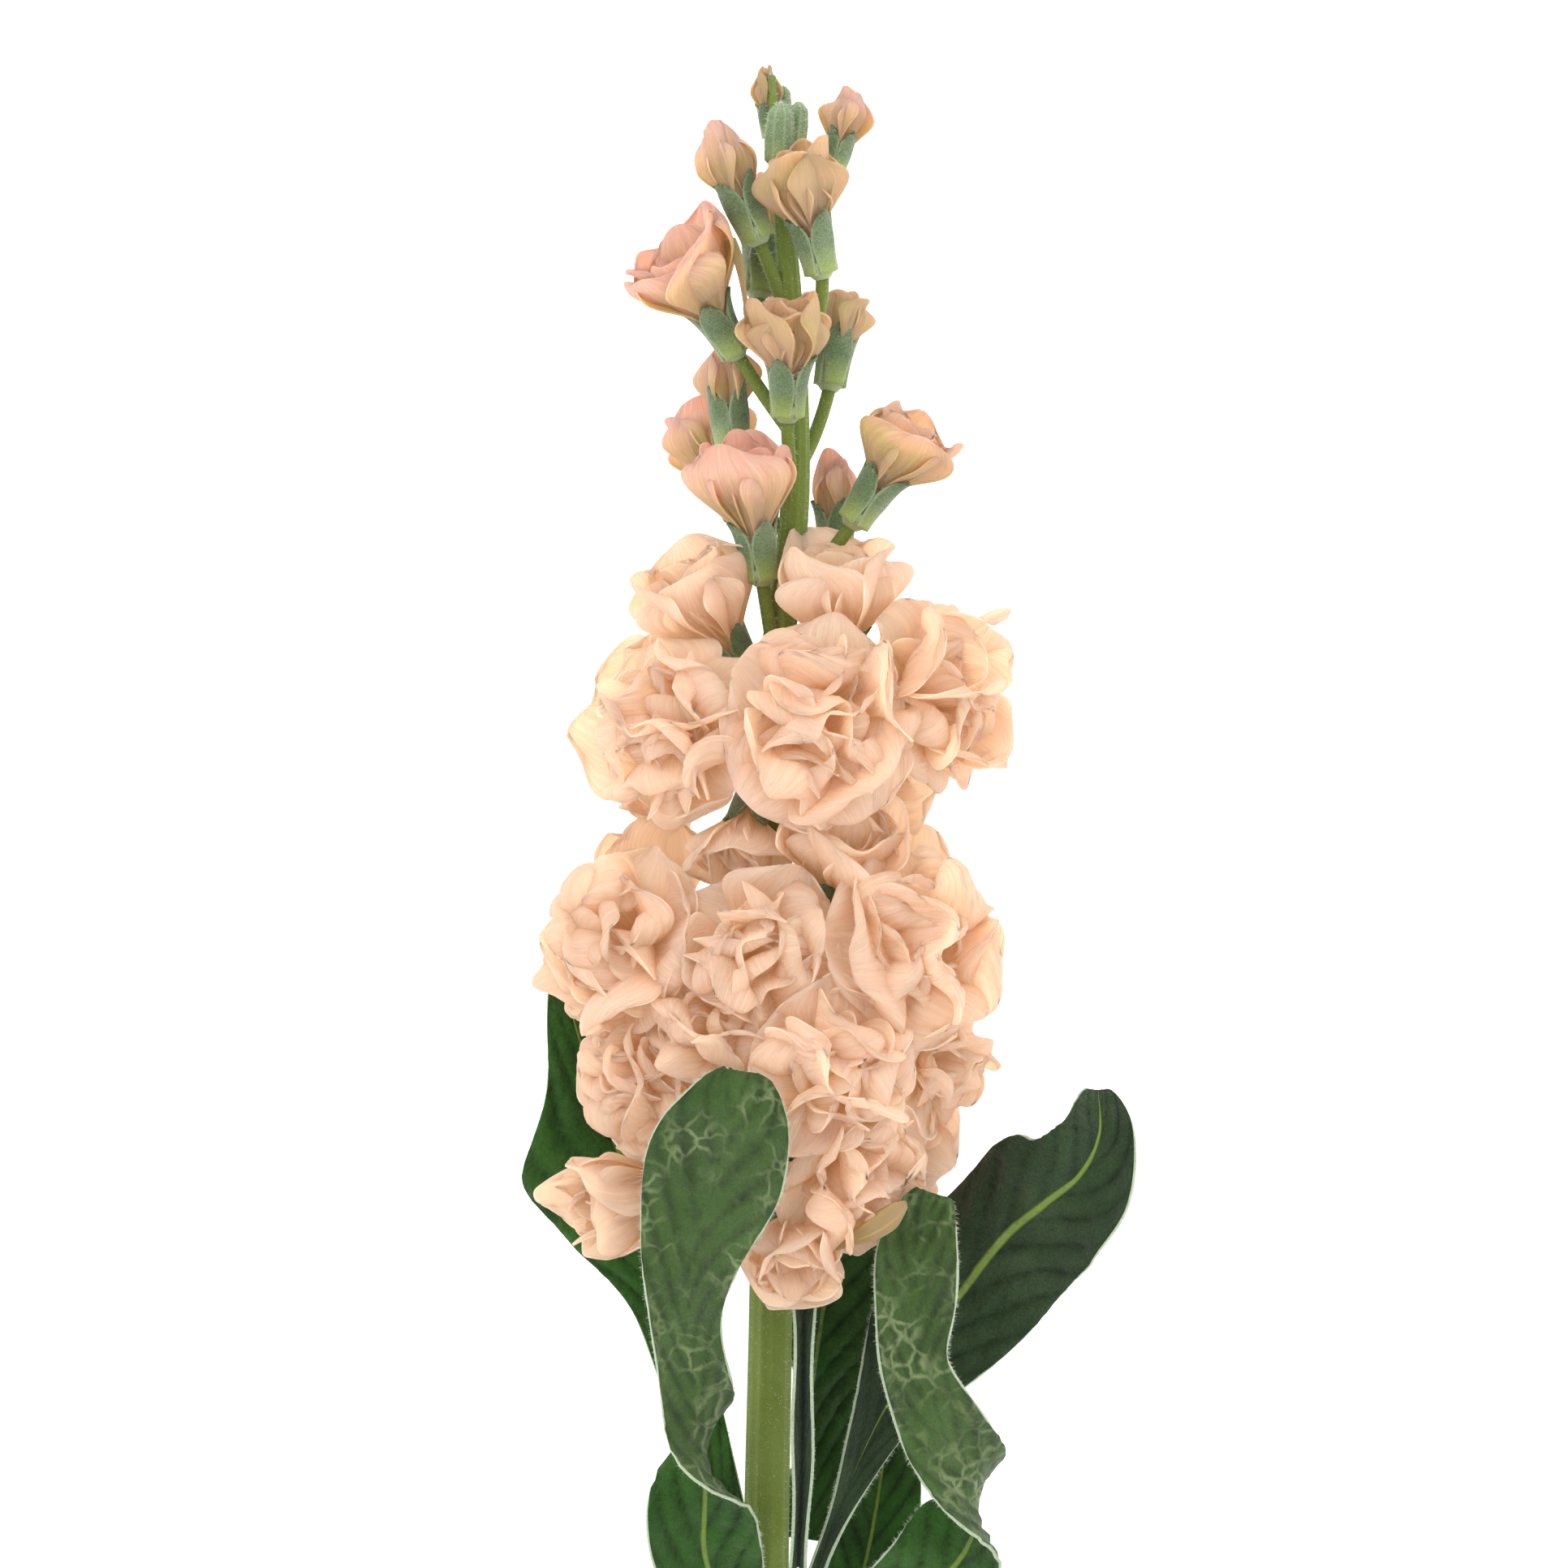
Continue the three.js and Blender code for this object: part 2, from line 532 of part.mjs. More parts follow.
// A closed body round an axis. Each row is its height and its radius at even steps round,
// and how far the row is turned.
function turnedBody(frame, turn, rows) {
  const sides = rows[0][1].length;
  const point = (up, out, k, rowTurn) => {
    const angle = radians(turn + rowTurn) + (2 * Math.PI * k) / sides;
    return frame.foot
      .clone()
      .addScaledVector(frame.axis, up)
      .addScaledVector(frame.u, out * Math.cos(angle))
      .addScaledVector(frame.v, out * Math.sin(angle));
  };
  const points = rows.flatMap(([up, out, rowTurn = 0]) =>
    out.map((r, k) => point(Array.isArray(up) ? up[k] : up, r, k, rowTurn)),
  );
  const faces = [];
  for (let i = 0; i < rows.length - 1; i++) {
    for (let k = 0; k < sides; k++) {
      const next = (k + 1) % sides;
      const [a, b] = [i * sides + k, i * sides + next];
      faces.push([a, b, b + sides], [a, b + sides, a + sides]);
    }
  }
  const end = (rows.length - 1) * sides;
  for (let k = 1; k < sides - 1; k++) {
    faces.push([0, k + 1, k], [end, end + k, end + k + 1]);
  }
  const made = solidOf(points, faces);
  return made.volume() < 0 ? solidOf(points, faces.map(([a, b, c]) => [a, c, b])) : made;
}

// The heart of a flower is the bundle of its petals' claws. In a bud it ends in young petals
// furled one over another, so that each turns out from under the last in a step. In an open
// bloom it is four-sided, and a petal grows out of each side.
function heart(frame, flower, seed) {
  const scale = flower.small ?? 1;
  const { heart: size, sepal } = kinds[flower.kind];
  const start = sepal.height * scale;
  const bottom = start * sepalFrom + gap;
  const height = size.height * flower.length;
  const radius = size.radius * flower.length;
  const claws = bundleRadius * scale;
  if (!size.furled) {
    const square = (r) => [r, r, r, r];
    return turnedBody(frame, turnOf(seed) + 45, [
      [bottom, square(claws)],
      [start + 3, square(claws)],
      [start + 3 + height * 0.5, square(radius), 45],
      [start + 3 + height, square(radius * 0.5), 70],
    ]);
  }
  const steps = [1.1, 0.98, 0.9, 0.8, 1.12, 1, 0.92, 0.82];
  const row = (up, r) => [up, steps.map((step) => r * step)];
  return turnedBody(frame, 360 * draw(seed, 320), [
    [bottom, steps.map(() => claws * 0.9)],
    [start, steps.map(() => claws * 0.9)],
    row(start + height * 0.5, radius),
    row(start + height, radius * 0.45),
  ]);
}

// Four sepals that stand up from a cup: their tips and the notches between them take turns.
// The calyces that open blooms hide have straight-sided sepals.
function calyx(flower, seed, grow) {
  const frame = flowerFrame(flower);
  const scale = flower.small ?? 1;
  const { height, lean } = kinds[flower.kind].sepal;
  const tip = height * scale + grow;
  const notch = height * scale * sepalFrom;
  const cup = cupRadius * scale;
  const tipOut = cup + (height * scale - notch) * Math.tan(radians(lean));
  const thick = sepalThick * Math.sqrt(scale) + grow;
  const turns = [0, 1, 2, 3, 4, 5, 6, 7];
  const ring = (up, out) => [up, turns.map(() => out)];
  const crown = (tipUp, tipOutward, notchUp, notchOut) => [
    turns.map((k) => (k % 2 ? notchUp : tipUp)),
    turns.map((k) => (k % 2 ? notchOut : tipOutward)),
  ];
  const rows = [
    ring(gap - grow, pedicelRadius * scale + 0.3 + grow),
    ring(notch * 0.45, cup + grow),
    crown((notch + tip) / 2, (cup + tipOut) / 2 + 0.6 + grow, notch, cup + grow),
    crown(tip, tipOut + grow, notch + grow, cup - 0.1 + grow),
    crown(tip, tipOut - thick, notch + grow, cup - thick),
    ring(notch - 0.2 * scale, cup - thick),
  ];
  if (!hasOwnCalyx(flower)) rows.splice(2, 1);
  return turnedBody(frame, turnOf(seed) + 45, rows);
}

// A pedicel leaves the stem below its flower and curves out to the calyx.
function pedicel(flower, grow) {
  const { foot, axis } = flowerFrame(flower);
  const scale = flower.small ?? 1;
  const root = stemAt(Math.min(foot.y - pedicelRise * scale, stemLength - 3)).middle;
  const bend = foot.clone().addScaledVector(axis, -8 * scale).lerp(root, 0.2);
  const curve = new THREE.QuadraticBezierCurve3(root, bend, foot);
  const middles = [0, 0.5, 1].map((t) => curve.getPoint(t));
  const radius = pedicelRadius * Math.sqrt(scale) + grow;
  return rod(middles, middles.map(() => radius), 5);
}

function closedBud({ foot, face, length, radius }, seed, grow) {
  const frame = flowerFrame({ foot, face });
  const lobes = [1, 0.84, 1, 0.84, 1, 0.84, 1, 0.84];
  const row = (up, share) => [up * length, lobes.map((s) => s * share * radius + grow)];
  const body = turnedBody(frame, 30 * seed, [row(0, 0.5), row(0.12, 0.95), row(0.5, 1), row(0.85, 0.85), row(1, 0.45)]);
  const root = stemAt(foot[1] - 12).middle;
  const neck = frame.foot.clone().addScaledVector(frame.axis, 1);
  return body.add(rod([root, root.clone().lerp(neck, 0.6), neck], [1, 1, 1].map((r) => r + grow), 6));
}

// The stem with its pedicels, the closed buds and the calyces of the open blooms.
function stem(grow) {
  const steps = 20;
  const heights = Array.from({ length: steps + 1 }, (_, i) => (i * stemLength) / steps);
  const middles = heights.map((h) => stemAt(h).middle);
  const radii = heights.map((h) => stemAt(h).radius + grow);
  const parts = [rod(middles, radii, 10)];
  flowers.forEach((flower, seed) => {
    parts.push(pedicel(flower, grow));
    if (!hasOwnCalyx(flower)) parts.push(calyx(flower, seed, gap + grow));
  });
  closedBuds.forEach((bud, seed) => parts.push(closedBud(bud, seed, grow)));
  return wasm.Manifold.union(parts);
}

function leafPoint(leaf, s, t, wider) {
  const [x, y, z, width, right, left, bendRight, bendLeft] = along(leaf.stations, t);
  const ahead = along(leaf.stations, Math.min(t + 0.01, 1));
  const behind = along(leaf.stations, Math.max(t - 0.01, 0));
  const way = new THREE.Vector3(ahead[0] - behind[0], ahead[1] - behind[1], ahead[2] - behind[2]).normalize();
  const rightward = new THREE.Vector3().crossVectors(way, new THREE.Vector3(0, 0, 1)).normalize();
  const upward = new THREE.Vector3().crossVectors(rightward, way);
  const past = Math.max(t - tipFrom, 0) / (1 - tipFrom);
  const half = (width * Math.sqrt(1 - (1 - leaf.tip ** 2) * past ** 2) + wider) * Math.abs(s);
  const start = radians(s > 0 ? right : left);
  const bend = radians(s > 0 ? bendRight : bendLeft) * Math.abs(s) + 1e-4;
  const flat = (half * (Math.sin(start + bend) - Math.sin(start))) / bend;
  const high = (half * (Math.cos(start) - Math.cos(start + bend))) / bend;
  const wave = leaf.wave * s * s * Math.sin(2 * Math.PI * leaf.waves * t + (s > 0 ? 0 : 2));
  return new THREE.Vector3(x, y, z)
    .addScaledVector(rightward, flat - wave * Math.sin(start))
    .addScaledVector(upward, high + wave * Math.cos(start) * (s > 0 ? 1 : -1));
}

// A leaf as a thin blade, and grown all round as the room that other pieces keep clear of.
function leafGrid(leaf, wider) {
  const rows = leaf.stations.length > 6 ? 12 : 7;
  return Array.from({ length: rows + 1 }, (_, i) =>
    [-1, -0.5, 0, 0.5, 1].map((s) => {
      const p = leafPoint(leaf, s, i / rows, Math.abs(s) === 1 ? wider : 0);
      if (i === rows) p.add(p.clone().sub(leafPoint(leaf, s, 0.97, 0)).setLength(wider));
      p.z = Math.max(p.z, leafThick / 2 - tableDip);
      return p;
    }),
  );
}
const leafBlade = (leaf) => blade(leafGrid(leaf, 0), leafThick);
const leafRoom = (leaf) => blade(leafGrid(leaf, 0), leafThick + 2 * gap).add(blade(leafGrid(leaf, gap), leafThick + 2 * gap));

const tableBlock = solidOfGeometry(new THREE.BoxGeometry(600, 1200, 40).translate(0, 200, -20));

// Keeps the largest body and drops loose scraps.
function largest(solid) {
  return solid.decompose().sort((a, b) => b.volume() - a.volume())[0];
}

// How unfit a solid is for a CAD file: 2 if corners would melt into one or an edge is shared by
// four faces, and 1 more if a face is so slim that a reader can't tell which way it faces.
function faults(solid) {
  const { numProp, vertProperties, triVerts, numVert } = solid.getMesh();
  const corner = (i) => vertProperties.subarray(i * numProp, i * numProp + 3);
  const offsets = Array.from({ length: 8 }, (_, k) => [k & 1, (k >> 1) & 1, k >> 2].map((bit) => bit / 2));
  const melted = offsets.some((offset) => {
    const seen = new Set();
    for (let i = 0; i < numVert; i++) {
      seen.add(Array.from(corner(i), (c, axis) => Math.round(c / tooClose + offset[axis])).join());
    }
    return seen.size < numVert;
  });
  const edges = new Set();
  let slim = false;
  for (let i = 0; i < triVerts.length; i += 3) {
    const face = triVerts.subarray(i, i + 3);
    const [a, b, c] = Array.from(face, (k) => new THREE.Vector3(...corner(k)));
    face.forEach((k, side) => edges.add(`${k} ${face[(side + 1) % 3]}`));
    const longest = Math.max(a.distanceTo(b), b.distanceTo(c), c.distanceTo(a));
    slim ||= b.clone().sub(a).cross(c.clone().sub(a)).length() / longest < tooSlim;
  }
  return (melted || edges.size < triVerts.length ? 2 : 0) + (slim ? 1 : 0);
}

// The first of several tries at a solid that has no faults, or else the one with the fewest.
function fittest(tries, make) {
  let best;
  for (const value of tries) {
    const solid = make(value);
    const count = faults(solid);
    if (!best || count < best.count) best = { solid, count };
    if (count === 0) break;
  }
  return best.solid;
}

// A solid without the slivers that joining and cutting leave.
function tidied(solid, size) {
  const whole = largest(solid.subtract(tableBlock)).asOriginal();
  return fittest([1, 1.2, 0.85, 1.4, 0.7], (share) => largest(whole.simplify(share * size)));
}

function meshOf(name, solid, finish) {
  const { numProp, vertProperties, triVerts, numVert } = solid.getMesh();
  const positions = new Float32Array(3 * numVert);
  for (let i = 0; i < numVert; i++) {
    positions.set(vertProperties.subarray(i * numProp, i * numProp + 3), 3 * i);
  }
  const geometry = new THREE.BufferGeometry()
    .setAttribute("position", new THREE.BufferAttribute(positions, 3))
    .setIndex(Array.from(triVerts));
  const mesh = new THREE.Mesh(geometry, new THREE.MeshStandardMaterial(finish));
  mesh.name = name;
  return mesh;
}

const plant = new THREE.Group();
const stemRoom = stem(gap);
plant.add(meshOf("stem", tidied(stem(0), stemScraps), green));

const leafRooms = [];
for (const leaf of leaves) {
  const rooms = wasm.Manifold.union([stemRoom, ...leafRooms]);
  plant.add(meshOf(leaf.name, tidied(leafBlade(leaf).subtract(rooms), leafScraps), darkGreen));
  leafRooms.push(leafRoom(leaf));
}

const calyxRooms = [];
flowers.forEach((flower, seed) => {
  if (!hasOwnCalyx(flower)) return;
  const others = calyxRooms.slice();
  const solid = others.reduce((rest, room) => rest.subtract(room), calyx(flower, seed, 0).subtract(stemRoom));
  plant.add(meshOf(`${flower.name}_calyx`, tidied(solid, leafScraps), hoary));
  calyxRooms.push(calyx(flower, seed, gap));
});

// Where the corners of two petals meet by chance, the petals are turned a little.
const nudges = Array.from({ length: 24 }, (_, k) => (k % 2 ? -1.3 : 1.3) * Math.ceil(k / 2));
const rooms = wasm.Manifold.union([stemRoom, ...leafRooms, ...calyxRooms]);
flowers.forEach((flower, seed) => {
  const frame = flowerFrame(flower);
  const walls = wallsOf(seed);
  const middle = heart(frame, flower, seed);
  const grown = (nudge) => {
    const forms = petalForms(flower, seed).map((form) => ({ ...form, turn: form.turn + nudge }));
    const blades = forms.map((form) => petalBlade(frame, form, walls));
    return tidied(wasm.Manifold.union([middle, ...blades]).subtract(rooms), petalScraps);
  };
  plant.add(meshOf(`${flower.name}_petals`, fittest(nudges, grown), apricot));
});

// The origin is on the table, under the middle of the whole stem.
const box = new THREE.Box3().setFromObject(plant, true);
const middle = box.getCenter(new THREE.Vector3());
plant.position.set(-middle.x, -middle.y, -box.min.z);

export default plant;
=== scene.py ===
import math

import bpy
import numpy as np
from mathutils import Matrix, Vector


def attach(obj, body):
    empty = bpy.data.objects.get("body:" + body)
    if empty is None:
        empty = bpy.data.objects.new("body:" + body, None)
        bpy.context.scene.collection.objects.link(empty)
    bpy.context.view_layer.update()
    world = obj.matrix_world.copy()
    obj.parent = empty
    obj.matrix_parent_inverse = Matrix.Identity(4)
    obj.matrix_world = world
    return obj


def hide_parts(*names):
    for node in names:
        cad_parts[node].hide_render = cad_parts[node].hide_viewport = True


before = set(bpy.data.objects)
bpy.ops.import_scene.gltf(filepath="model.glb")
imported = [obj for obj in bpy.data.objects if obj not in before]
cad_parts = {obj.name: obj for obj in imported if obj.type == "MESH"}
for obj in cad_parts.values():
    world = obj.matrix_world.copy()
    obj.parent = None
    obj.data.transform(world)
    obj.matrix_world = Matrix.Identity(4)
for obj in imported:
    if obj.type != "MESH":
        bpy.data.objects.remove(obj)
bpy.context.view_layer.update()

mm = 0.001
plantMiddle = np.array([10.785, 212.875, 0.0])  # middle of the plant's box, in the plan's millimetres


# small helpers

def draw(seed, n):
    value = math.sin(seed * 127.1 + n * 311.7) * 43758.5453
    return value - math.floor(value)


def smooth(x):
    s = np.clip(x, 0, 1)
    return s * s * (3 - 2 * s)


def unit(v):
    return v / np.linalg.norm(v)


def wavy(a, b, seed):
    # soft folds that never repeat exactly
    return (np.sin(3.1 * a + 1.7 * b + seed) + np.sin(5.3 * b - 2.2 * a + 2.1 * seed)
            + np.sin(4.1 * a + 6.7 * b + 3.7 * seed)) / 3


def toWorld(points):
    return (np.asarray(points, dtype=float) - plantMiddle) * mm


def along(stations, t):
    # values at t, from 0 to 1, along evenly spaced stations
    stations = np.asarray(stations, dtype=float)
    last = len(stations) - 1
    place = np.clip(np.asarray(t, dtype=float), 0, 1) * last
    i = np.minimum(np.floor(place).astype(int), last - 1)
    f = (place - i)[..., None]
    a, b, d, e = (stations[np.clip(i + k, 0, last)] for k in (-1, 0, 1, 2))
    return b + 0.5 * f * (d - a + f * (2 * a - 5 * b + 4 * d - e + f * (3 * (b - d) + e - a)))


def makePiece(name, grids, materials, nodes=(), thick=None, rimOffset=0, backOffset=0):
    # each grid is its points (rows, columns, 3), its values (rows, columns, 4) and if it closes round
    verts, values, faces, start = [], [], [], 0
    for points, vals, closed in grids:
        rows, columns = points.shape[:2]
        verts.append(points.reshape(-1, 3))
        values.append(vals.reshape(-1, 4))
        ids = start + np.arange(rows * columns).reshape(rows, columns)
        if closed:
            ids = np.hstack([ids, ids[:, :1]])
        faces.append(np.stack([ids[:-1, :-1], ids[:-1, 1:], ids[1:, 1:], ids[1:, :-1]], -1).reshape(-1, 4))
        start += rows * columns
    mesh = bpy.data.meshes.new(name)
    mesh.from_pydata(toWorld(np.vstack(verts)).tolist(), [], np.vstack(faces).tolist())
    values = np.vstack(values)
    places = mesh.attributes.new("place", "FLOAT_VECTOR", "POINT")
    places.data.foreach_set("vector", values[:, :3].ravel())
    tones = mesh.attributes.new("tone", "FLOAT", "POINT")
    tones.data.foreach_set("value", values[:, 3].copy())
    mesh.polygons.foreach_set("use_smooth", [True] * len(mesh.polygons))
    for material in materials:
        mesh.materials.append(material)
    piece = addObject(name, mesh)
    if thick:
        solid = piece.modifiers.new("thickness", "SOLIDIFY")
        solid.thickness = thick * mm
        solid.offset = 0
        solid.material_offset = backOffset
        solid.material_offset_rim = rimOffset
    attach(piece, "root")
    if nodes:
        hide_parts(*nodes)


def addObject(name, data):
    thing = bpy.data.objects.new(name, data)
    bpy.context.scene.collection.objects.link(thing)
    return thing


# materials

def hexColour(text):
    parts = [int(text[i:i + 2], 16) / 255 for i in (0, 2, 4)]
    return tuple(((c + 0.055) / 1.055) ** 2.4 if c > 0.04045 else c / 12.92 for c in parts) + (1,)


def feed(tree, socket, value):
    if isinstance(value, bpy.types.NodeSocket):
        tree.links.new(value, socket)
    else:
        socket.default_value = value


def newNode(tree, kind, **sockets):
    node = tree.nodes.new(kind)
    for name, value in sockets.items():
        key = int(name[1:]) if name[0] == "i" and name[1:].isdigit() else name
        feed(tree, node.inputs[key], value)
    return node


def mixColour(tree, factor, first, second, blend="MIX"):
    node = tree.nodes.new("ShaderNodeMix")
    node.data_type = "RGBA"
    node.blend_type = blend
    for key, value in (("Factor", factor), (6, first), (7, second)):
        feed(tree, node.inputs[key], value)
    return node.outputs[2]


def attribute(tree, name):
    node = tree.nodes.new("ShaderNodeAttribute")
    node.attribute_name = name
    return node.outputs


def placeParts(tree):
    # X across, from -1 to 1, Y from root to rim, and Z each petal's own number
    return newNode(tree, "ShaderNodeSeparateXYZ", Vector=attribute(tree, "place")["Vector"]).outputs


def levels(tree, value, low, high, first=0.0, last=1.0):
    # brings a value from low and high to first and last, and no further
    return newNode(tree, "ShaderNodeMapRange", **{
        "Value": value, "From Min": low, "From Max": high, "To Min": first, "To Max": last}).outputs["Result"]


def noise(tree, place, scale, detail, roughness=0.5):
    return newNode(tree, "ShaderNodeTexNoise", Vector=place, Scale=scale, Detail=detail,
                   Roughness=roughness).outputs


def ramp(tree, factor, stops):
    node = newNode(tree, "ShaderNodeValToRGB", Fac=factor)
    elements = node.color_ramp.elements
    for k, (place, colour) in enumerate(stops):
        element = elements[k] if k < 2 else elements.new(place)
        element.position = place
        element.color = colour
    return node.outputs["Color"]


def sums(tree, operation, first, second):
    node = tree.nodes.new("ShaderNodeMath")
    node.operation = operation
    for socket, value in zip(node.inputs, (first, second)):
        feed(tree, socket, value)
    return node.outputs[0]


def times(tree, first, second):
    return sums(tree, "MULTIPLY", first, second)


def startGroup(name, inputs, outputs):
    # a group whose sockets are numbers, but for the colours "Color" and "Other"
    tree = bpy.data.node_groups.new(name, "ShaderNodeTree")
    for way, labels in (("INPUT", inputs), ("OUTPUT", outputs)):
        for label in labels:
            kind = "NodeSocketColor" if label in ("Color", "Other") else "NodeSocketFloat"
            tree.interface.new_socket(label, in_out=way, socket_type=kind)
    return tree, tree.nodes.new("NodeGroupInput").outputs, tree.nodes.new("NodeGroupOutput").inputs


feltLook = {"detail": 3.0, "roughness": 0.7, "driftDetail": 2.0, "bare": 0.3, "covered": 0.75}


def makeFelt():
    # short pale hairs, as a mask of fine specks over a slow drift
    tree, given, out = startGroup("felt", ("Scale", "Drift"), ("Mask", "Height"))
    place = tree.nodes.new("ShaderNodeTexCoord").outputs["Object"]
    specks = noise(tree, place, given["Scale"], feltLook["detail"], feltLook["roughness"])
    slow = noise(tree, place, given["Drift"], feltLook["driftDetail"])
    both = times(tree, specks["Fac"], sums(tree, "ADD", slow["Fac"], 0.5))
    tree.links.new(levels(tree, both, feltLook["bare"], feltLook["covered"]), out["Mask"])
    tree.links.new(specks["Fac"], out["Height"])
    return tree


driftLook = {"detail": 4.0, "roughness": 0.6}


def makeDrift():
    # shifts a colour lighter and darker in soft patches
    tree, given, out = startGroup("colourDrift", ("Color", "Other", "Scale", "Amount"), ("Color",))
    place = tree.nodes.new("ShaderNodeTexCoord").outputs["Object"]
    patches = noise(tree, place, given["Scale"], driftLook["detail"], driftLook["roughness"])
    share = times(tree, patches["Fac"], given["Amount"])
    tree.links.new(mixColour(tree, share, given["Color"], given["Other"]), out["Color"])
    return tree


veinLook = {
    "scale": 2.2, "detail": 5.0, "roughness": 0.62, "thin": 0.09,
    "bendScale": 0.8, "bendDetail": 2.0, "bendReach": 3.0,
    "apart": 37.0,  # how far apart in the noise two petals lie
}


def makeVeins():
    # fine lines that run along a petal or a leaf and fan out a little towards its rim
    tree, given, out = startGroup("veins", ("Count", "Stretch", "Wander"), ("Lines", "Crinkle"))
    parts = placeParts(tree)
    across = times(tree, parts["X"], given["Count"])
    upward = times(tree, parts["Y"], given["Stretch"])
    seed = times(tree, parts["Z"], veinLook["apart"])
    spot = newNode(tree, "ShaderNodeCombineXYZ", X=across, Y=upward, Z=seed).outputs["Vector"]
    bend = noise(tree, spot, veinLook["bendScale"], veinLook["bendDetail"])
    moved = times(tree, sums(tree, "SUBTRACT", bend["Fac"], 0.5), given["Wander"])
    bent = sums(tree, "ADD", across, times(tree, moved, veinLook["bendReach"]))
    line = newNode(tree, "ShaderNodeCombineXYZ", X=bent, Y=upward, Z=seed).outputs["Vector"]
    cells = noise(tree, line, veinLook["scale"], veinLook["detail"], veinLook["roughness"])
    ridge = sums(tree, "ABSOLUTE", sums(tree, "SUBTRACT", cells["Fac"], 0.5), 0.0)
    tree.links.new(levels(tree, ridge, 0.0, veinLook["thin"], 1.0, 0.0), out["Lines"])
    tree.links.new(cells["Fac"], out["Crinkle"])
    return tree


felt, colourDrift, veins = makeFelt(), makeDrift(), makeVeins()


def placeGroup(tree, group, **sockets):
    node = tree.nodes.new("ShaderNodeGroup")
    node.node_tree = group
    for name, value in sockets.items():
        feed(tree, node.inputs[name], value)
    return node.outputs


softFinish = {"Sheen Roughness": 0.45, "Subsurface Scale": 0.0012}


def startMaterial(name, roughness, sheen, subsurface, radius, specular=0.3):
    material = bpy.data.materials.new(name)
    material.use_nodes = True
    tree = material.node_tree
    shader = tree.nodes["Principled BSDF"]
    finish = {"Roughness": roughness, "Sheen Weight": sheen, "Specular IOR Level": specular,
              "Subsurface Weight": subsurface, "Subsurface Radius": radius, **softFinish}
    for socket, value in finish.items():
        shader.inputs[socket].default_value = value
    return material, tree, shader


def bumpInto(tree, shader, height, strength, distance):
    bump = newNode(tree, "ShaderNodeBump", Height=height, Strength=strength, Distance=distance)
    tree.links.new(bump.outputs["Normal"], shader.inputs["Normal"])
    return bump.outputs["Normal"]


def letThrough(tree, shader, colour, normal, share):
    # light that comes through from behind
    through = newNode(tree, "ShaderNodeBsdfTranslucent", Color=colour, Normal=normal)
    both = newNode(tree, "ShaderNodeMixShader", Fac=share, i1=shader.outputs[0], i2=through.outputs[0])
    tree.links.new(both.outputs[0], tree.nodes["Material Output"].inputs["Surface"])


petalTones = {  # of open blooms and of buds
    "throat": ("B7C65C", "A4B83C"), "claw": ("FCEDAC", "C8CE60"), "warm": ("FFF0D2", "F0E4B0"),
    "limb": ("FCF6EE", "F7E6DE"), "rim": ("FCF5EE", "F7D4CB"), "vein": ("F8DFCB", "ECBFB0"),
    "blush": ("FEEBDE", "F7D4CA"), "inner": ("FFF4DD", "F3DCC0"), "cream": ("FDF7E4", "F4E9CC"),
    "through": ("FEF4E5", "FCE8DA"), "paintedGlowColour": ("FFE4C2", "FFE4C2"), "clawAt": (0.12, 0.58),
    "warmAt": (0.36, 0.74), "limbAt": (0.64, 0.9), "greenShift": (0.0, 0.7), "innerShare": (0.5, 0.0),
    # painted glow: the petals emit a faint warm light of their own; its tint stands on the line with
    # "through" and its strength is the last pair here
    "translucence": (0.7, 0.6), "paintedGlowStrength": (0.048, 0.055),
}


petalSkin = {
    "roughness": 0.6, "sheen": 0.15, "specular": 0.2, "subsurface": 0.3, "radius": (1.0, 0.6, 0.38),
    "creamShare": 0.55,  # how far some petals go to cream
    "driftScale": 70.0, "driftAmount": 0.8,
    "veinCount": 9.0, "veinStretch": 0.9, "veinWander": 0.3, "veinShare": 0.45,
    "crinkle": 0.9, "crinkleHeight": 0.0011,
    "warmShare": 0.5,
}


def makePetalMaterial(name, column):
    tones = {key: pair[column] for key, pair in petalTones.items()}
    skin = petalSkin
    colour = {key: hexColour(value) for key, value in tones.items() if isinstance(value, str)}
    material, tree, shader = startMaterial(name, skin["roughness"], skin["sheen"], skin["subsurface"],
                                           skin["radius"], skin["specular"])
    parts = placeParts(tree)
    tone = attribute(tree, "tone")["Fac"]
    greener = times(tree, sums(tree, "SUBTRACT", 0.5, tone), tones["greenShift"])
    limb = ramp(tree, sums(tree, "ADD", parts["Y"], greener), [
        (0.0, colour["throat"]), (tones["clawAt"], colour["claw"]), (tones["warmAt"], colour["warm"]),
        (tones["limbAt"], colour["limb"]), (1.0, colour["rim"])])
    own = mixColour(tree, times(tree, parts["Z"], skin["creamShare"]), limb, colour["cream"])
    base = mixColour(tree, times(tree, tone, tones["innerShare"]), own, colour["inner"])
    lines = placeGroup(tree, veins, Count=skin["veinCount"], Stretch=skin["veinStretch"],
                       Wander=skin["veinWander"])
    drift = placeGroup(tree, colourDrift, Color=base, Other=colour["blush"], Scale=skin["driftScale"],
                       Amount=skin["driftAmount"])
    faint = times(tree, lines["Lines"], skin["veinShare"])
    veined = mixColour(tree, faint, drift["Color"], colour["vein"])
    tree.links.new(veined, shader.inputs["Base Color"])
    normal = bumpInto(tree, shader, lines["Crinkle"], skin["crinkle"], skin["crinkleHeight"])
    warm = mixColour(tree, skin["warmShare"], veined, colour["through"], "MULTIPLY")
    letThrough(tree, shader, warm, normal, tones["translucence"])
    # a faint warm painted glow: the whole petal emits a little light of its own, standing in for the light
    # that many thin petals pass on into the creases
    tree.links.new(mixColour(tree, 1.0, warm, colour["paintedGlowColour"], "MULTIPLY"), shader.inputs["Emission Color"])
    shader.inputs["Emission Strength"].default_value = tones["paintedGlowStrength"] / (1 - tones["translucence"])
    return material
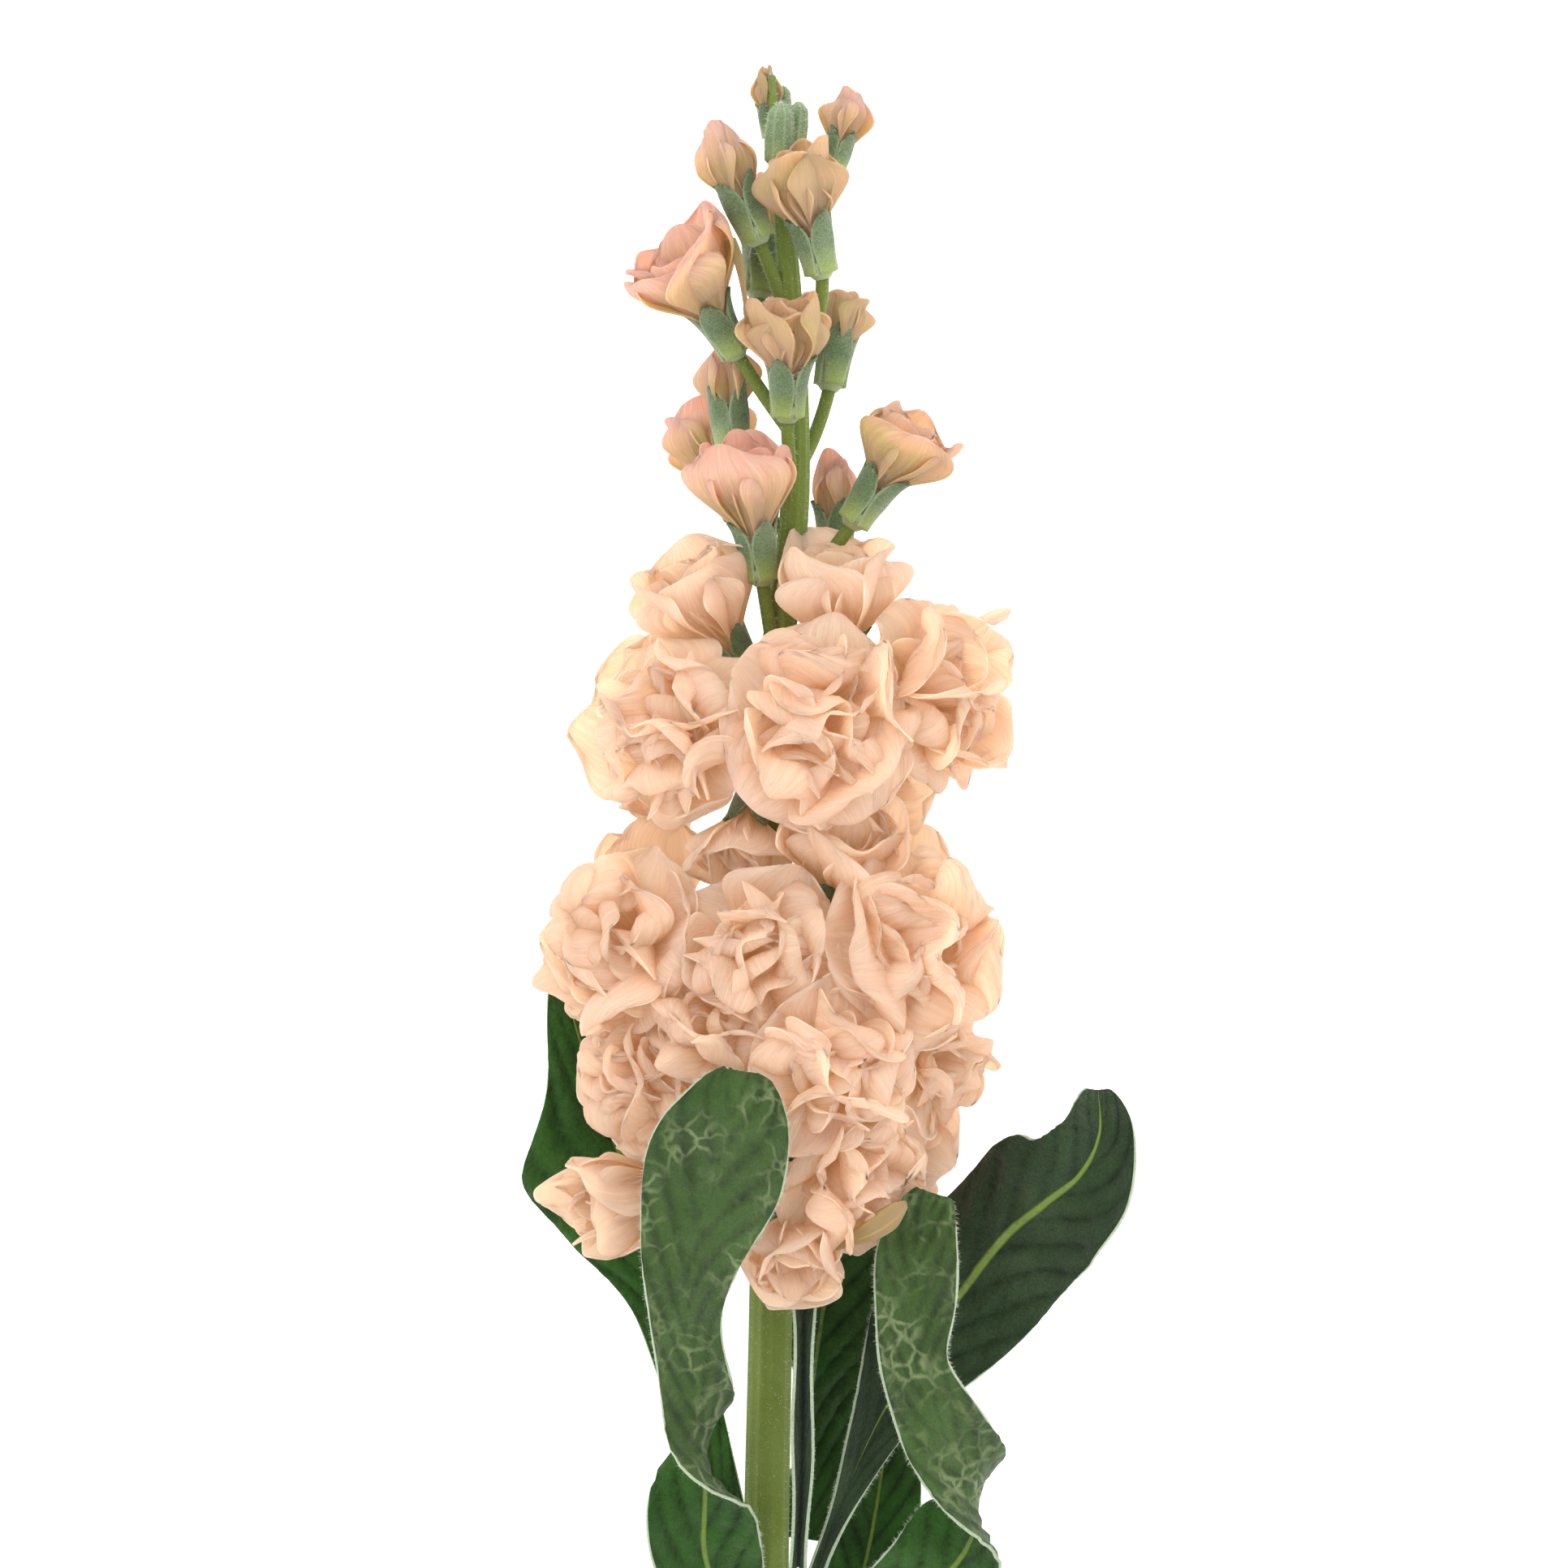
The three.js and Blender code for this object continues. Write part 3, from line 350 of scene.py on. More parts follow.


# the first tint here is the near-black green of the painted shade in the leaves' hollows
leafTones = {"paintedShade": "101C0A", "midrib": "7C9446", "net": "8C9A6E", "hairs": "93A07F"}
leafKeys = ("base", "other", "sheen", "net", "through", "rib")
leafKinds = {
    "leafAbove": ("3F7E20", "15300C", 0.1, 0.0, 0.25, 0.06),
    # a darker copy of the upper face's green: painted shade for the leaves that lie in shade
    "leafAboveShaded": ("31502A", "101F10", 0.1, 0.0, 0.12, 0.06),
    "leafBelow": ("4A6B2B", "253A18", 0.08, 0.0, 0.06, 0.04),
    "leafMottled": ("4A6B2B", "253A18", 0.1, 0.7, 0.06, 0.0),
}
leafSkin = {
    "roughness": 0.6, "specular": 0.15,
    "driftScale": 55.0, "driftAmount": 1.1,
    "hairScale": 2600.0, "hairDrift": 80.0, "hairShare": 0.14,
    "netScale": 210.0, "netLine": (0.02, 0.12), "netWarp": 0.005, "netWarpScale": 160.0,
    "netPatchScale": 75.0, "netPatchDetail": 2.0, "netPatch": (0.4, 0.62),
    "detail": 3.0, "crumpleScale": 120.0, "crumpleRoughness": 0.6,
    "paintedShade": (0.95, 0.35), "paintedShadeShare": 0.75,  # painted shade: the hollows between bulges are painted darker
    "hairRelief": 0.2, "crumpleRelief": 2.0, "ribRelief": 0.2, "relief": 0.0024,
}


def makeLeafMaterial(name):
    kind = dict(zip(leafKeys, leafKinds[name]))
    skin = leafSkin
    tones = {key: hexColour(value) for key, value in leafTones.items()}
    material, tree, shader = startMaterial(name, skin["roughness"], kind["sheen"], 0.0, (1, 1, 1),
                                           skin["specular"])
    parts = placeParts(tree)
    place = tree.nodes.new("ShaderNodeTexCoord").outputs["Object"]
    drift = placeGroup(tree, colourDrift, Color=hexColour(kind["base"]), Other=hexColour(kind["other"]),
                       Scale=skin["driftScale"], Amount=skin["driftAmount"])
    fuzz = placeGroup(tree, felt, Scale=skin["hairScale"], Drift=skin["hairDrift"])
    covered = times(tree, fuzz["Mask"], skin["hairShare"])
    blade = mixColour(tree, covered, drift["Color"], tones["hairs"])
    if kind["net"]:
        # a pale broken net, as on a leaf that has been wet
        warp = noise(tree, place, skin["netWarpScale"], skin["detail"])
        shifted = mixColour(tree, skin["netWarp"], place, warp["Color"], "ADD")
        cells = newNode(tree, "ShaderNodeTexVoronoi", Vector=shifted, Scale=skin["netScale"])
        cells.feature = "DISTANCE_TO_EDGE"
        line = levels(tree, cells.outputs["Distance"], *skin["netLine"], 1.0, 0.0)
        patch = noise(tree, place, skin["netPatchScale"], skin["netPatchDetail"])
        net = times(tree, line, levels(tree, patch["Fac"], *skin["netPatch"]))
        blade = mixColour(tree, times(tree, net, kind["net"]), blade, tones["net"])
    crumple = noise(tree, place, skin["crumpleScale"], skin["detail"], skin["crumpleRoughness"])
    # painted shade: the colour goes towards near-black where the crumple noise and the bulge pattern run low,
    # as if the hollows lay in shade
    raised = sums(tree, "ADD", crumple["Fac"], attribute(tree, "tone")["Fac"])
    paintedShadeMask = levels(tree, raised, *skin["paintedShade"], 0.0, skin["paintedShadeShare"])
    blade = mixColour(tree, paintedShadeMask, blade, tones["paintedShade"])
    rib = levels(tree, sums(tree, "ABSOLUTE", parts["X"], 0.0), kind["rib"] * 0.5, kind["rib"], 1.0, 0.0)
    colour = mixColour(tree, rib, blade, tones["midrib"])
    tree.links.new(colour, shader.inputs["Base Color"])
    height = times(tree, fuzz["Height"], skin["hairRelief"])
    height = sums(tree, "ADD", height, times(tree, crumple["Fac"], skin["crumpleRelief"]))
    height = sums(tree, "ADD", height, times(tree, rib, skin["ribRelief"]))
    normal = bumpInto(tree, shader, height, 1.0, skin["relief"])
    letThrough(tree, shader, colour, normal, kind["through"])
    return material


feltKeys = ("base", "tip", "pale", "sheen", "share", "edge")
feltKinds = {
    "leafRim": ("7F9070", "8FA080", "C5D0B8", 0.5, 0.6, 0.0),
    "sepalFelt": ("8DA046", "415B30", "A9B696", 0.2, 0.42, 0.5),
    "stemSkin": ("5C6C1A", "687A28", "B5C48A", 0.1, 0.14, 0.0),
    "closedFelt": ("8FA34E", "5A7344", "B4C0A2", 0.2, 0.4, 0.3),
    "paleHair": ("D4DCC6", "D9E0CC", "E6EBDC", 0.0, 0.3, 0.0),
}
feltSkin = {
    "roughness": 0.7, "subsurface": 0.1, "radius": (0.6, 1.0, 0.3), "tipFrom": 0.45,
    "hairScale": 2400.0, "hairDrift": 120.0, "edgeFrom": 0.78, "crinkle": 0.8, "crinkleHeight": 0.0005,
}


def makeFeltMaterial(name):
    # green flesh under pale hairs, greener at the root
    kind = dict(zip(feltKeys, feltKinds[name]))
    skin = feltSkin
    base, tip, pale = (hexColour(kind[key]) for key in ("base", "tip", "pale"))
    material, tree, shader = startMaterial(name, skin["roughness"], kind["sheen"], skin["subsurface"],
                                           skin["radius"])
    parts = placeParts(tree)
    flesh = ramp(tree, parts["Y"], [(0.0, base), (skin["tipFrom"], tip), (1.0, tip)])
    fuzz = placeGroup(tree, felt, Scale=skin["hairScale"], Drift=skin["hairDrift"])
    colour = mixColour(tree, times(tree, fuzz["Mask"], kind["share"]), flesh, pale)
    if kind["edge"]:
        fromMiddle = sums(tree, "ABSOLUTE", parts["X"], 0.0)
        margin = levels(tree, fromMiddle, skin["edgeFrom"], 1.0, 0.0, kind["edge"])
        colour = mixColour(tree, margin, colour, pale)
    tree.links.new(colour, shader.inputs["Base Color"])
    bumpInto(tree, shader, fuzz["Height"], skin["crinkle"], skin["crinkleHeight"])
    return material


bloomPetal, budPetal = makePetalMaterial("bloomPetal", 0), makePetalMaterial("budPetal", 1)
leafAbove, leafAboveShaded, leafBelow, leafMottled = (makeLeafMaterial(name) for name in leafKinds)
leafRim, sepalFelt, stemSkin, closedFelt, paleHair = (makeFeltMaterial(name) for name in feltKinds)
print("materials made")


# stem

stemShape = {
    "length": 424,
    "stations": [  # x and z of its middle and its radius, at even steps of height
        (-3, 4.7, 4.7), (-2.4, 6.9, 4.6), (-2, 11.5, 4.6), (-1.7, 17.8, 4.5), (-0.9, 24.5, 4.3),
        (-0.4, 30, 4.1), (-0.2, 33, 3.8), (-0.3, 34.5, 3.4), (4.2, 34.5, 2.8), (2.8, 33, 2.4),
        (-0.8, 30.5, 0.9),
    ],
    "ribs": 11,
    "ribDepth": 0.05,
    "pedicelRadius": 1.4,
    "pedicelRise": 17,
}


def stemAt(height):
    x, z, radius = along(stemShape["stations"], height / stemShape["length"])
    return np.array([x, height, z]), radius


def rod(middles, radii, sides, ribs=0, depth=0.0, tone=(0.0, 1.0)):
    # a closed rod through a row of points, with fine ribs
    middles = np.asarray(middles, dtype=float)
    way = np.gradient(middles, axis=0)
    way /= np.linalg.norm(way, axis=1)[:, None]
    side = np.cross(way, [0.3, 0.2, 1.0])
    side /= np.linalg.norm(side, axis=1)[:, None]
    up = np.cross(side, way)
    angles = np.linspace(0, 2 * np.pi, sides, endpoint=False)
    ribbed = 1 + depth * np.cos(ribs * angles)
    out = side[:, None] * np.cos(angles)[None, :, None] + up[:, None] * np.sin(angles)[None, :, None]
    points = middles[:, None] + out * (np.asarray(radii)[:, None] * ribbed[None])[..., None]
    first, last = (np.repeat(end, sides, 0)[None] for end in (middles[:1], middles[-1:]))
    points = np.concatenate([first, points, last])
    rows = len(points)
    values = np.zeros(points.shape[:2] + (4,))
    values[..., 0] = np.cos(ribs * angles)[None]
    values[..., 1] = np.linspace(tone[0], tone[1], rows)[:, None]
    return points, values, True


# flowers: kinds of opening, then each flower's foot, the way it faces and its petals' length and width

ringKeys = ("count", "lean", "curl", "cup", "length", "width", "fold", "rim", "roll", "flare")
petalKinds = {
    "bud": {
        "rings": [
            (3, 15, -30, 84, 1, 1.35, 0.3, 0.3, 4, 0.2),
            (3, 9, -16, 84, 0.95, 1.1, 0.5, 0.4, 10, 0.3),
        ],
        "reach": 0.34, "sepalHeight": 13, "sepalLean": 9, "start": 0.4,
    },
    "half": {
        "rings": [
            (4, 44, -44, 62, 1, 1.42, 0.5, 0.8, 10, 0.6),
            (4, 28, -34, 64, 0.92, 1.1, 0.9, 0.9, 40, 0.8),
            (4, 12, -6, 70, 0.78, 0.9, 1.2, 0.8, 20, 0.8),
        ],
        "reach": 0.5, "sepalHeight": 13, "sepalLean": 16, "start": 0.5,
    },
    "open": {
        "rings": [
            (5, 78, 6, 18, 0.97, 1.12, 1.2, 1.6, 20, 1.2),
            (4, 54, -8, 18, 0.92, 1.22, 2.2, 1.8, 90, 2),
            (4, 32, -14, 22, 0.84, 1.15, 2.7, 1.6, 115, 2),
            (3, 14, -22, 28, 0.74, 1.05, 2.8, 1.5, 90, 1.6),
        ],
        "reach": 0.74, "sepalHeight": 9, "sepalLean": 8, "start": 0.75,
    },
    "bloom": {
        "rings": [
            (5, 82, 12, 16, 0.96, 1.1, 1.2, 1.7, 18, 1.2),
            (5, 60, -6, 16, 0.94, 1.2, 2.2, 2, 90, 2),
            (5, 38, -14, 20, 0.86, 1.14, 2.8, 1.8, 120, 2),
            (4, 18, -22, 26, 0.75, 1.05, 3, 1.6, 100, 1.6),
        ],
        "reach": 0.74, "sepalHeight": 9, "sepalLean": 8, "start": 0.75,
    },
}
petalLook = {
    "steps": 24,  # pieces of a petal's middle line
    "overrun": 3.5,  # how far a soft petal may lie over its neighbour's
    "bloomGrid": (20, 17), "budGrid": (16, 13),
    "thick": 0.42,
    "rollFrom": 0.78,  # where the rim starts to roll
    "folds": 2.9, "wildFolds": 0.9,
    "floor": 0.3, "pressDepth": 3.0, "pressRounds": 4,
    "fitTries": 16, "fitSlack": 0.5, "fitLean": 0.9, "fitLength": 0.955, "fitWidth": 0.97,
    "tame": 0.6,  # kinds that reach no further than this keep even petals
    "coverReach": 2.5, "coverGap": 1.1,  # how far round and under the front leaves petals keep
    "over": 3, "overLean": 0.3, "overCurl": -56,  # petals that lie over the middle of an open bloom
}

flowerKeys = ("name", "kind", "foot", "face", "length", "width", "small")
flowers = [dict(zip(flowerKeys, row)) for row in (
    ("bud_top", "bud", (-0.6, 411, 29), (-0.1, 1, 0.05), 8.5, 5, 0.55),
    ("flower_01", "bud", (-3.1, 389.5, 36), (-0.39, 0.92, 0.1), 16, 12),
    ("flower_02", "bud", (11.3, 403.3, 31), (0.25, 0.95, 0), 10, 10, 0.7),
    ("flower_03", "half", (9.6, 382.4, 39), (-0.22, 0.95, 0.2), 16, 14.5),
    ("flower_04", "half", (-7.5, 366.5, 36), (-0.5, 0.82, 0.3), 20, 16.5),
    ("flower_05", "bud", (11, 360.1, 28), (0.15, 0.98, -0.1), 9, 11),
    ("flower_06", "half", (2.5, 353.2, 41), (0.02, 0.96, 0.25), 14, 14.5),
    ("flower_07", "bud", (-8.5, 346.5, 30), (-0.1, 0.99, 0), 11, 12),
    ("flower_08", "half", (15.3, 332, 37), (0.55, 0.83, 0.15), 16, 15.5),
    ("flower_09", "half", (-2.5, 320.2, 41), (-0.15, 0.95, 0.25), 20.5, 16.5),
    ("flower_10", "bud", (12.4, 323, 26), (0, 0.98, -0.1), 13, 11),
    ("flower_11", "half", (-7, 334, 24), (-0.35, 0.85, -0.4), 15, 14.5),
    ("flower_12", "bud", (3, 358, 24), (0, 0.95, -0.3), 13, 11),
    ("flower_13", "bud", (-3.6, 379, 27), (0.08, 0.97, -0.15), 13, 9),
    ("bloom_01", "half", (-4.5, 300.5, 34), (-0.5, 0.8, 0.3), 21, 24),
    ("bloom_02", "half", (13.5, 298, 38), (-0.02, 0.95, 0.25), 22, 25),
    ("bloom_03", "bloom", (19.1, 294.5, 35), (0.75, 0.2, 0.6), 26, 26),
    ("bloom_04", "bloom", (-11, 288.5, 37), (-0.45, 0.1, 0.86), 24, 26),
    ("bloom_05", "bloom", (5.5, 289, 45), (0.22, 0.1, 0.97), 26, 27),
    ("bloom_06", "half", (-3.5, 281, 40), (-0.2, -0.84, 0.5), 15, 15),
    ("bloom_07", "half", (9.5, 252, 37), (0.2, 0.75, 0.6), 21, 24),
    ("bloom_08", "bloom", (18, 246.3, 37), (0.5, 0.05, 0.86), 28, 28),
    ("bloom_09", "bloom", (-17.5, 245.5, 34), (-0.75, 0.1, 0.65), 27, 26),
    ("bloom_10", "open", (-2, 244, 42), (-0.1, 0.1, 0.99), 23, 23),
    ("bloom_11", "open", (9, 224, 45), (0.15, -0.1, 0.98), 23, 25),
    ("bloom_12", "bloom", (-15.5, 221, 33), (-0.76, -0.1, 0.6), 22, 23),
    ("bloom_13", "open", (-7.5, 228.5, 40), (-0.3, 0.1, 0.93), 20, 20),
    ("bloom_14", "open", (8, 206, 36), (0.45, -0.25, 0.85), 24, 24),
    ("bloom_15", "half", (3.3, 199, 37), (0.03, -0.78, 0.62), 16, 20),
    ("bloom_16", "open", (19.5, 224, 28), (0.9, -0.1, 0.35), 20, 20),
    ("bloom_17", "half", (-13.7, 203, 33), (-0.8, -0.35, 0.42), 24, 18),
    ("bloom_18", "open", (-9, 289, 26), (-0.75, 0.1, -0.66), 27, 25),
    ("bloom_19", "open", (7, 282, 25), (0.6, 0.05, -0.78), 28, 26),
    ("bloom_20", "open", (-11, 250, 25), (-0.75, 0, -0.66), 28, 26),
    ("bloom_21", "open", (10, 254, 25), (0.72, 0.05, -0.66), 28, 26),
    ("bloom_22", "open", (-3, 218, 25), (-0.25, -0.2, -0.92), 27, 25),
    ("bloom_23", "open", (11, 210, 25), (0.75, -0.25, -0.6), 26, 24),
)]


def flowerBase(flower):
    axis = unit(np.array(flower["face"], dtype=float))
    reference = np.array([0.0, 1, 0]) if abs(axis[1]) < 0.9 else np.array([0.0, 0, 1])
    u = unit(np.cross(reference, axis))
    return {"foot": np.array(flower["foot"], dtype=float), "axis": axis, "u": u, "v": np.cross(axis, u)}


def middleLine(form, reached):
    # how far out and how far up the middle of a petal has got, and how it leans there
    steps = petalLook["steps"]
    at = (np.arange(steps) + 0.5) / steps
    opening = smooth((at - form["claw"]) / form["bend"])
    rolled = form["roll"] * smooth((at - form["rollFrom"]) / (1 - form["rollFrom"]))
    opened = form["leanRoot"] + (form["lean"] - form["leanRoot"]) * opening
    lean = np.radians(opened + form["curl"] * at * at + rolled)
    grid = np.arange(steps + 1) / steps
    out = np.concatenate([[0], np.cumsum(np.sin(lean))]) * form["length"] / steps + form["rootOut"]
    up = np.concatenate([[0], np.cumsum(np.cos(lean))]) * form["length"] / steps + form["rootUp"]
    return np.interp(reached, grid, out), np.interp(reached, grid, up), np.interp(reached, at, lean)


rimWaves = ((0.55, 5.2, 4.1, 5), (0.45, -3.7, 8.3, 2))  # share, turns across and along, and shift


def petalPoints(base, form, u, v):
    reached = v * (1 - form["round"] * u * u * v * v)
    out, up, lean = middleLine(form, reached)
    spread = smooth((v - form["claw"] * 0.6) / (form["widest"] - form["claw"] * 0.6))
    past = np.clip((v - form["widest"]) / (1 - form["widest"]), 0, 1)
    taper = np.sqrt(1 - form["tip"] * past ** 2)
    half = (form["width"] / 2) * (form["clawWidth"] + (1 - form["clawWidth"]) * spread) * taper
    bend = np.radians(form["cup"]) * (0.35 + 0.65 * v) + 1e-4
    side = half * np.sin(bend * u) / bend
    edge = np.abs(u)
    phase = form["phase"]
    # long folds from the claw to the rim, then waves that only the rim has
    folded = np.sin(form["folds"] * u + 3 * phase + 1.3 * np.sin(2.6 * v + phase))
    folds = form["fold"] * taper * smooth(1.6 * v) * folded
    nearRim = smooth((np.maximum(edge * (0.4 + 0.6 * v), v) - 0.5) / 0.5)
    waves = form["rim"] * nearRim * sum(share * np.sin(across * u + along * v + shift * phase)
                                        for share, across, along, shift in rimWaves)
    flared = form["flare"] * smooth((edge - 0.62) / 0.38) * smooth(1.5 * v)
    lift = half * (1 - np.cos(bend * u)) / bend + folds + waves - flared
    turn = np.radians(form["twist"]) * v * v
    sideways = side * np.cos(turn) - lift * np.sin(turn)
    inward = side * np.sin(turn) + lift * np.cos(turn)
    around = math.radians(form["turn"])
    radial = base["u"] * math.cos(around) + base["v"] * math.sin(around)
    tangent = base["v"] * math.cos(around) - base["u"] * math.sin(around)
    return (base["foot"] + radial * (out - inward * np.cos(lean))[..., None]
            + base["axis"] * (up + inward * np.sin(lean))[..., None] + tangent * sideways[..., None])


def turnOf(seed):
    return 90 * draw(seed, 300)


petalSpread = {  # how unlike each other even petals are, and what wilder ones add
    "turn": (14, 10), "length": (0.1, 0.08), "width": (0.14, 0.1), "lean": (9, 10), "curl": (14, 0),
    "cup": (12, 0), "phase": (3.1, 0), "twist": (16, 26), "folds": (1.2, 0), "roll": (42, 0),
    "rollFrom": (0.06, 0), "flare": (0.6, 0),
}
petalShape = {"round": 0.17, "tip": 0.72, "claw": 0.08, "clawWidth": 0.16, "widest": 0.68, "bend": 0.34}
spreadKeys = {"turn": 0, "length": 1, "width": 2, "lean": 3, "curl": 4, "cup": 5, "phase": 6, "twist": 7,
              "folds": 8, "roll": 10, "rollFrom": 11, "flare": 12}


def petalForms(flower, seed):
    scale = flower.get("small", 1)
    kind = petalKinds[flower["kind"]]
    rings = [dict(zip(ringKeys, ring)) for ring in kind["rings"]]
    start = kind["sepalHeight"] * kind["start"] * scale
    lower = (kind["sepalHeight"] - 1.5) * scale - start
    forms = []
    for r, ring in enumerate(rings):
        for k in range(ring["count"]):
            wild = 1 if r and kind["reach"] > petalLook["tame"] else 0
            lies = wild and r == 1 and k < petalLook["over"]

            def vary(key):
                even, more = petalSpread[key]
                return (even + more * wild) * (2 * draw(seed, 60 * r + 9 * k + spreadKeys[key]) - 1)
            forms.append({
                **petalShape,
                "turn": turnOf(seed) + 360 * (k + 0.5 * r) / ring["count"] + vary("turn"),
                "length": (flower["length"] * ring["length"] + lower) * (1 + vary("length")),
                "width": flower["width"] * ring["width"] * (1 + vary("width")),
                "lean": max((ring["lean"] + vary("lean")) * (petalLook["overLean"] if lies else 1), 4),
                "curl": ring["curl"] + vary("curl") + (petalLook["overCurl"] if lies else 0),
                "cup": ring["cup"] + vary("cup"),
                "phase": vary("phase"),
                "twist": vary("twist"),
                "fold": ring["fold"] * scale,
                "rim": ring["rim"] * scale,
                "roll": ring["roll"] + vary("roll"),
                "rollFrom": petalLook["rollFrom"] + vary("rollFrom"),
                "flare": ring["flare"] * scale * (1 + vary("flare")),
                "folds": petalLook["folds"] + petalLook["wildFolds"] * wild + vary("folds"),
                "leanRoot": min(8, ring["lean"]),
                "rootOut": 1.1 * scale * (1 - r / len(rings)),
                "rootUp": start,
                "layer": 0.5 * (k % 2) + 0.4 * r,
                "inner": r / (len(rings) - 1),
            })
    return forms


def wallsOf(index):
    # flat walls halfway between a flower and each neighbour, and the table
    def middleOf(flower):
        base = flowerBase(flower)
        kind = petalKinds[flower["kind"]]
        up = kind["sepalHeight"] * flower.get("small", 1) + flower["length"] * (0.7 - 0.6 * kind["reach"])
        return base["foot"] + base["axis"] * up
    own = flowers[index]
    middle = middleOf(own)
    ownReach = own["length"] * petalKinds[own["kind"]]["reach"]
    walls = [(np.array([0, 0, petalLook["floor"]]), np.array([0, 0, -1.0]))]
    for k, other in enumerate(flowers):
        if k == index:
            continue
        away = middleOf(other) - middle
        apart = np.linalg.norm(away)
        otherReach = other["length"] * petalKinds[other["kind"]]["reach"]
        if apart > 1.4 * (own["length"] + other["length"]):
            continue
        away = away / apart
        share = apart * ownReach / (ownReach + otherReach)
        walls.append((middle + away * (share + petalLook["overrun"]), away))
    return walls


def fitted(base, form, walls):
    # closes and shortens a petal until its rim stays inside the walls
    u = np.array([-1, 1, -0.6, 0, 0.6])
    v = np.array([0.75, 0.75, 1, 1, 1])
    fit = dict(form)
    for _ in range(petalLook["fitTries"]):
        rim = petalPoints(base, fit, u, v)
        if max(((rim - at) @ away).max() for at, away in walls) < petalLook["fitSlack"]:
            break
        fit["lean"] = max(fit["lean"] * petalLook["fitLean"] - 2, 6)
        fit["length"] *= petalLook["fitLength"]
        fit["width"] *= petalLook["fitWidth"]
    return fit


def pressed(points, walls, inset):
    # flattens what lies past a wall, softly at first
    depth = petalLook["pressDepth"]
    flat = points.reshape(-1, 3).copy()
    for step in range(petalLook["pressRounds"]):
        for at, away in walls:
            past = (flat - at) @ away + inset
            if step == 0:
                kept = np.where(past > -depth, -depth * np.exp(-(past + depth) / depth), past)
            else:
                kept = np.minimum(past, 0)
            flat += (kept - past)[:, None] * away
    return flat.reshape(points.shape)


def behindLeaves(points):
    # keeps petals under the two leaves in front
    flat = points.reshape(-1, 3).copy()
    for cover in frontCovers:
        low = cover.min(axis=0) - petalLook["coverReach"]
        high = cover.max(axis=0) + petalLook["coverReach"]
        near = np.flatnonzero(((flat[:, :2] > low[:2]) & (flat[:, :2] < high[:2])).all(axis=1))
        if len(near) == 0:
            continue
        apart = np.linalg.norm(flat[near, None, :2] - cover[None, :, :2], axis=2)
        closest = apart.argmin(axis=1)
        below = cover[closest, 2] - petalLook["coverGap"]
        under = (apart.min(axis=1) < petalLook["coverReach"]) & (flat[near, 2] > below)
        flat[near[under], 2] = below[under]
    return flat.reshape(points.shape)


def petalGrid(base, form, walls, rows, columns, seed):
    fit = fitted(base, form, walls)
    v, u = np.meshgrid(1 - (1 - np.linspace(0, 1, rows)) ** 1.3, np.linspace(-1, 1, columns), indexing="ij")
    points = behindLeaves(pressed(petalPoints(base, fit, u, v), walls, 0.5 * fit["layer"]))
    values = np.stack([u * (0.7 + 0.3 * v), v, np.full_like(u, seed), np.full_like(u, form["inner"])], -1)
    return points, values, False


# how green, how wide and how open single upper flowers are
budOwn = {
    "bud_top": (1.1, 1.1, 0), "flower_01": (0.5, 1.05, 0), "flower_02": (0.5, 1, 2),
    "flower_03": (0.95, 1.05, -8), "flower_04": (0.5, 1.35, 12), "flower_05": (1, 1.1, 4),
    "flower_06": (0.85, 1.1, -6), "flower_07": (0.55, 1, 0), "flower_08": (0.7, 1, 0),
    "flower_09": (0.35, 1.05, -4),
}


def makeFlower(index, flower):
    base = flowerBase(flower)
    walls = wallsOf(index)
    isBud = flower["name"].startswith(("flower", "bud"))
    rows, columns = petalLook["budGrid" if isBud else "bloomGrid"]
    forms = petalForms(flower, index)
    if isBud:
        green, wide, opened = budOwn.get(flower["name"], (0.4, 1, 0))
        for form in forms:
            form["inner"] = green
            form["width"] *= wide
            form["lean"] = max(form["lean"] + opened, 4)
    grids = [petalGrid(base, form, walls, rows, columns, draw(index, 500 + k))
             for k, form in enumerate(forms)]
    node = flower["name"] + "_petals"
    paint = [budPetal if isBud else bloomPetal]
    makePiece(flower["name"] + "Petals", grids, paint, [node], petalLook["thick"])


sepalLook = {
    "count": 4, "width": 6.2, "thick": 0.7, "grid": (16, 11),
    "cupHeight": 3.4, "cupRoot": 1.5, "cupSwell": 1.6,
}
sepalShape = {
    "curl": 6, "cup": 70, "twist": 0, "fold": 0.12, "rim": 0.1, "folds": 3.0, "roll": 12, "rollFrom": 0.7,
    "flare": 0.25, "round": 0.12, "tip": 0.94, "claw": 0.0, "clawWidth": 0.66, "widest": 0.55, "bend": 0.9,
    "leanRoot": 2,
}


def sepalGrids(index, flower):
    base = flowerBase(flower)
    scale = flower.get("small", 1)
    kind = petalKinds[flower["kind"]]
    height = kind["sepalHeight"] * scale
    grids = []
    rows, columns = sepalLook["grid"]
    v, u = np.meshgrid(np.linspace(0, 1, rows), np.linspace(-1, 1, columns), indexing="ij")
    for k in range(sepalLook["count"]):
        form = {
            **sepalShape,
            "turn": turnOf(index) + 45 + 90 * k, "length": height * (1 + 0.1 * draw(index, 330 + k)),
            "width": sepalLook["width"] * scale, "lean": kind["sepalLean"] - 3 + 6 * draw(index, 310 + k),
            "phase": 3.0 * k, "rootOut": 3.0 * scale, "rootUp": 0.9 * scale,
        }
        values = np.stack([u, v, np.full_like(u, draw(index, 320 + k)), np.zeros_like(u)], -1)
        grids.append((petalPoints(base, form, u, v), values, False))
    # the cup that the sepals grow from
    shares = np.linspace(0, 1, 7)
    middles = base["foot"] + base["axis"] * (shares[:, None] * sepalLook["cupHeight"] * scale)
    radii = (sepalLook["cupRoot"] + sepalLook["cupSwell"] * np.sin(shares * np.pi * 0.55)) * scale
    grids.append(rod(middles, radii, 16, tone=(0.0, 0.2)))
    return grids


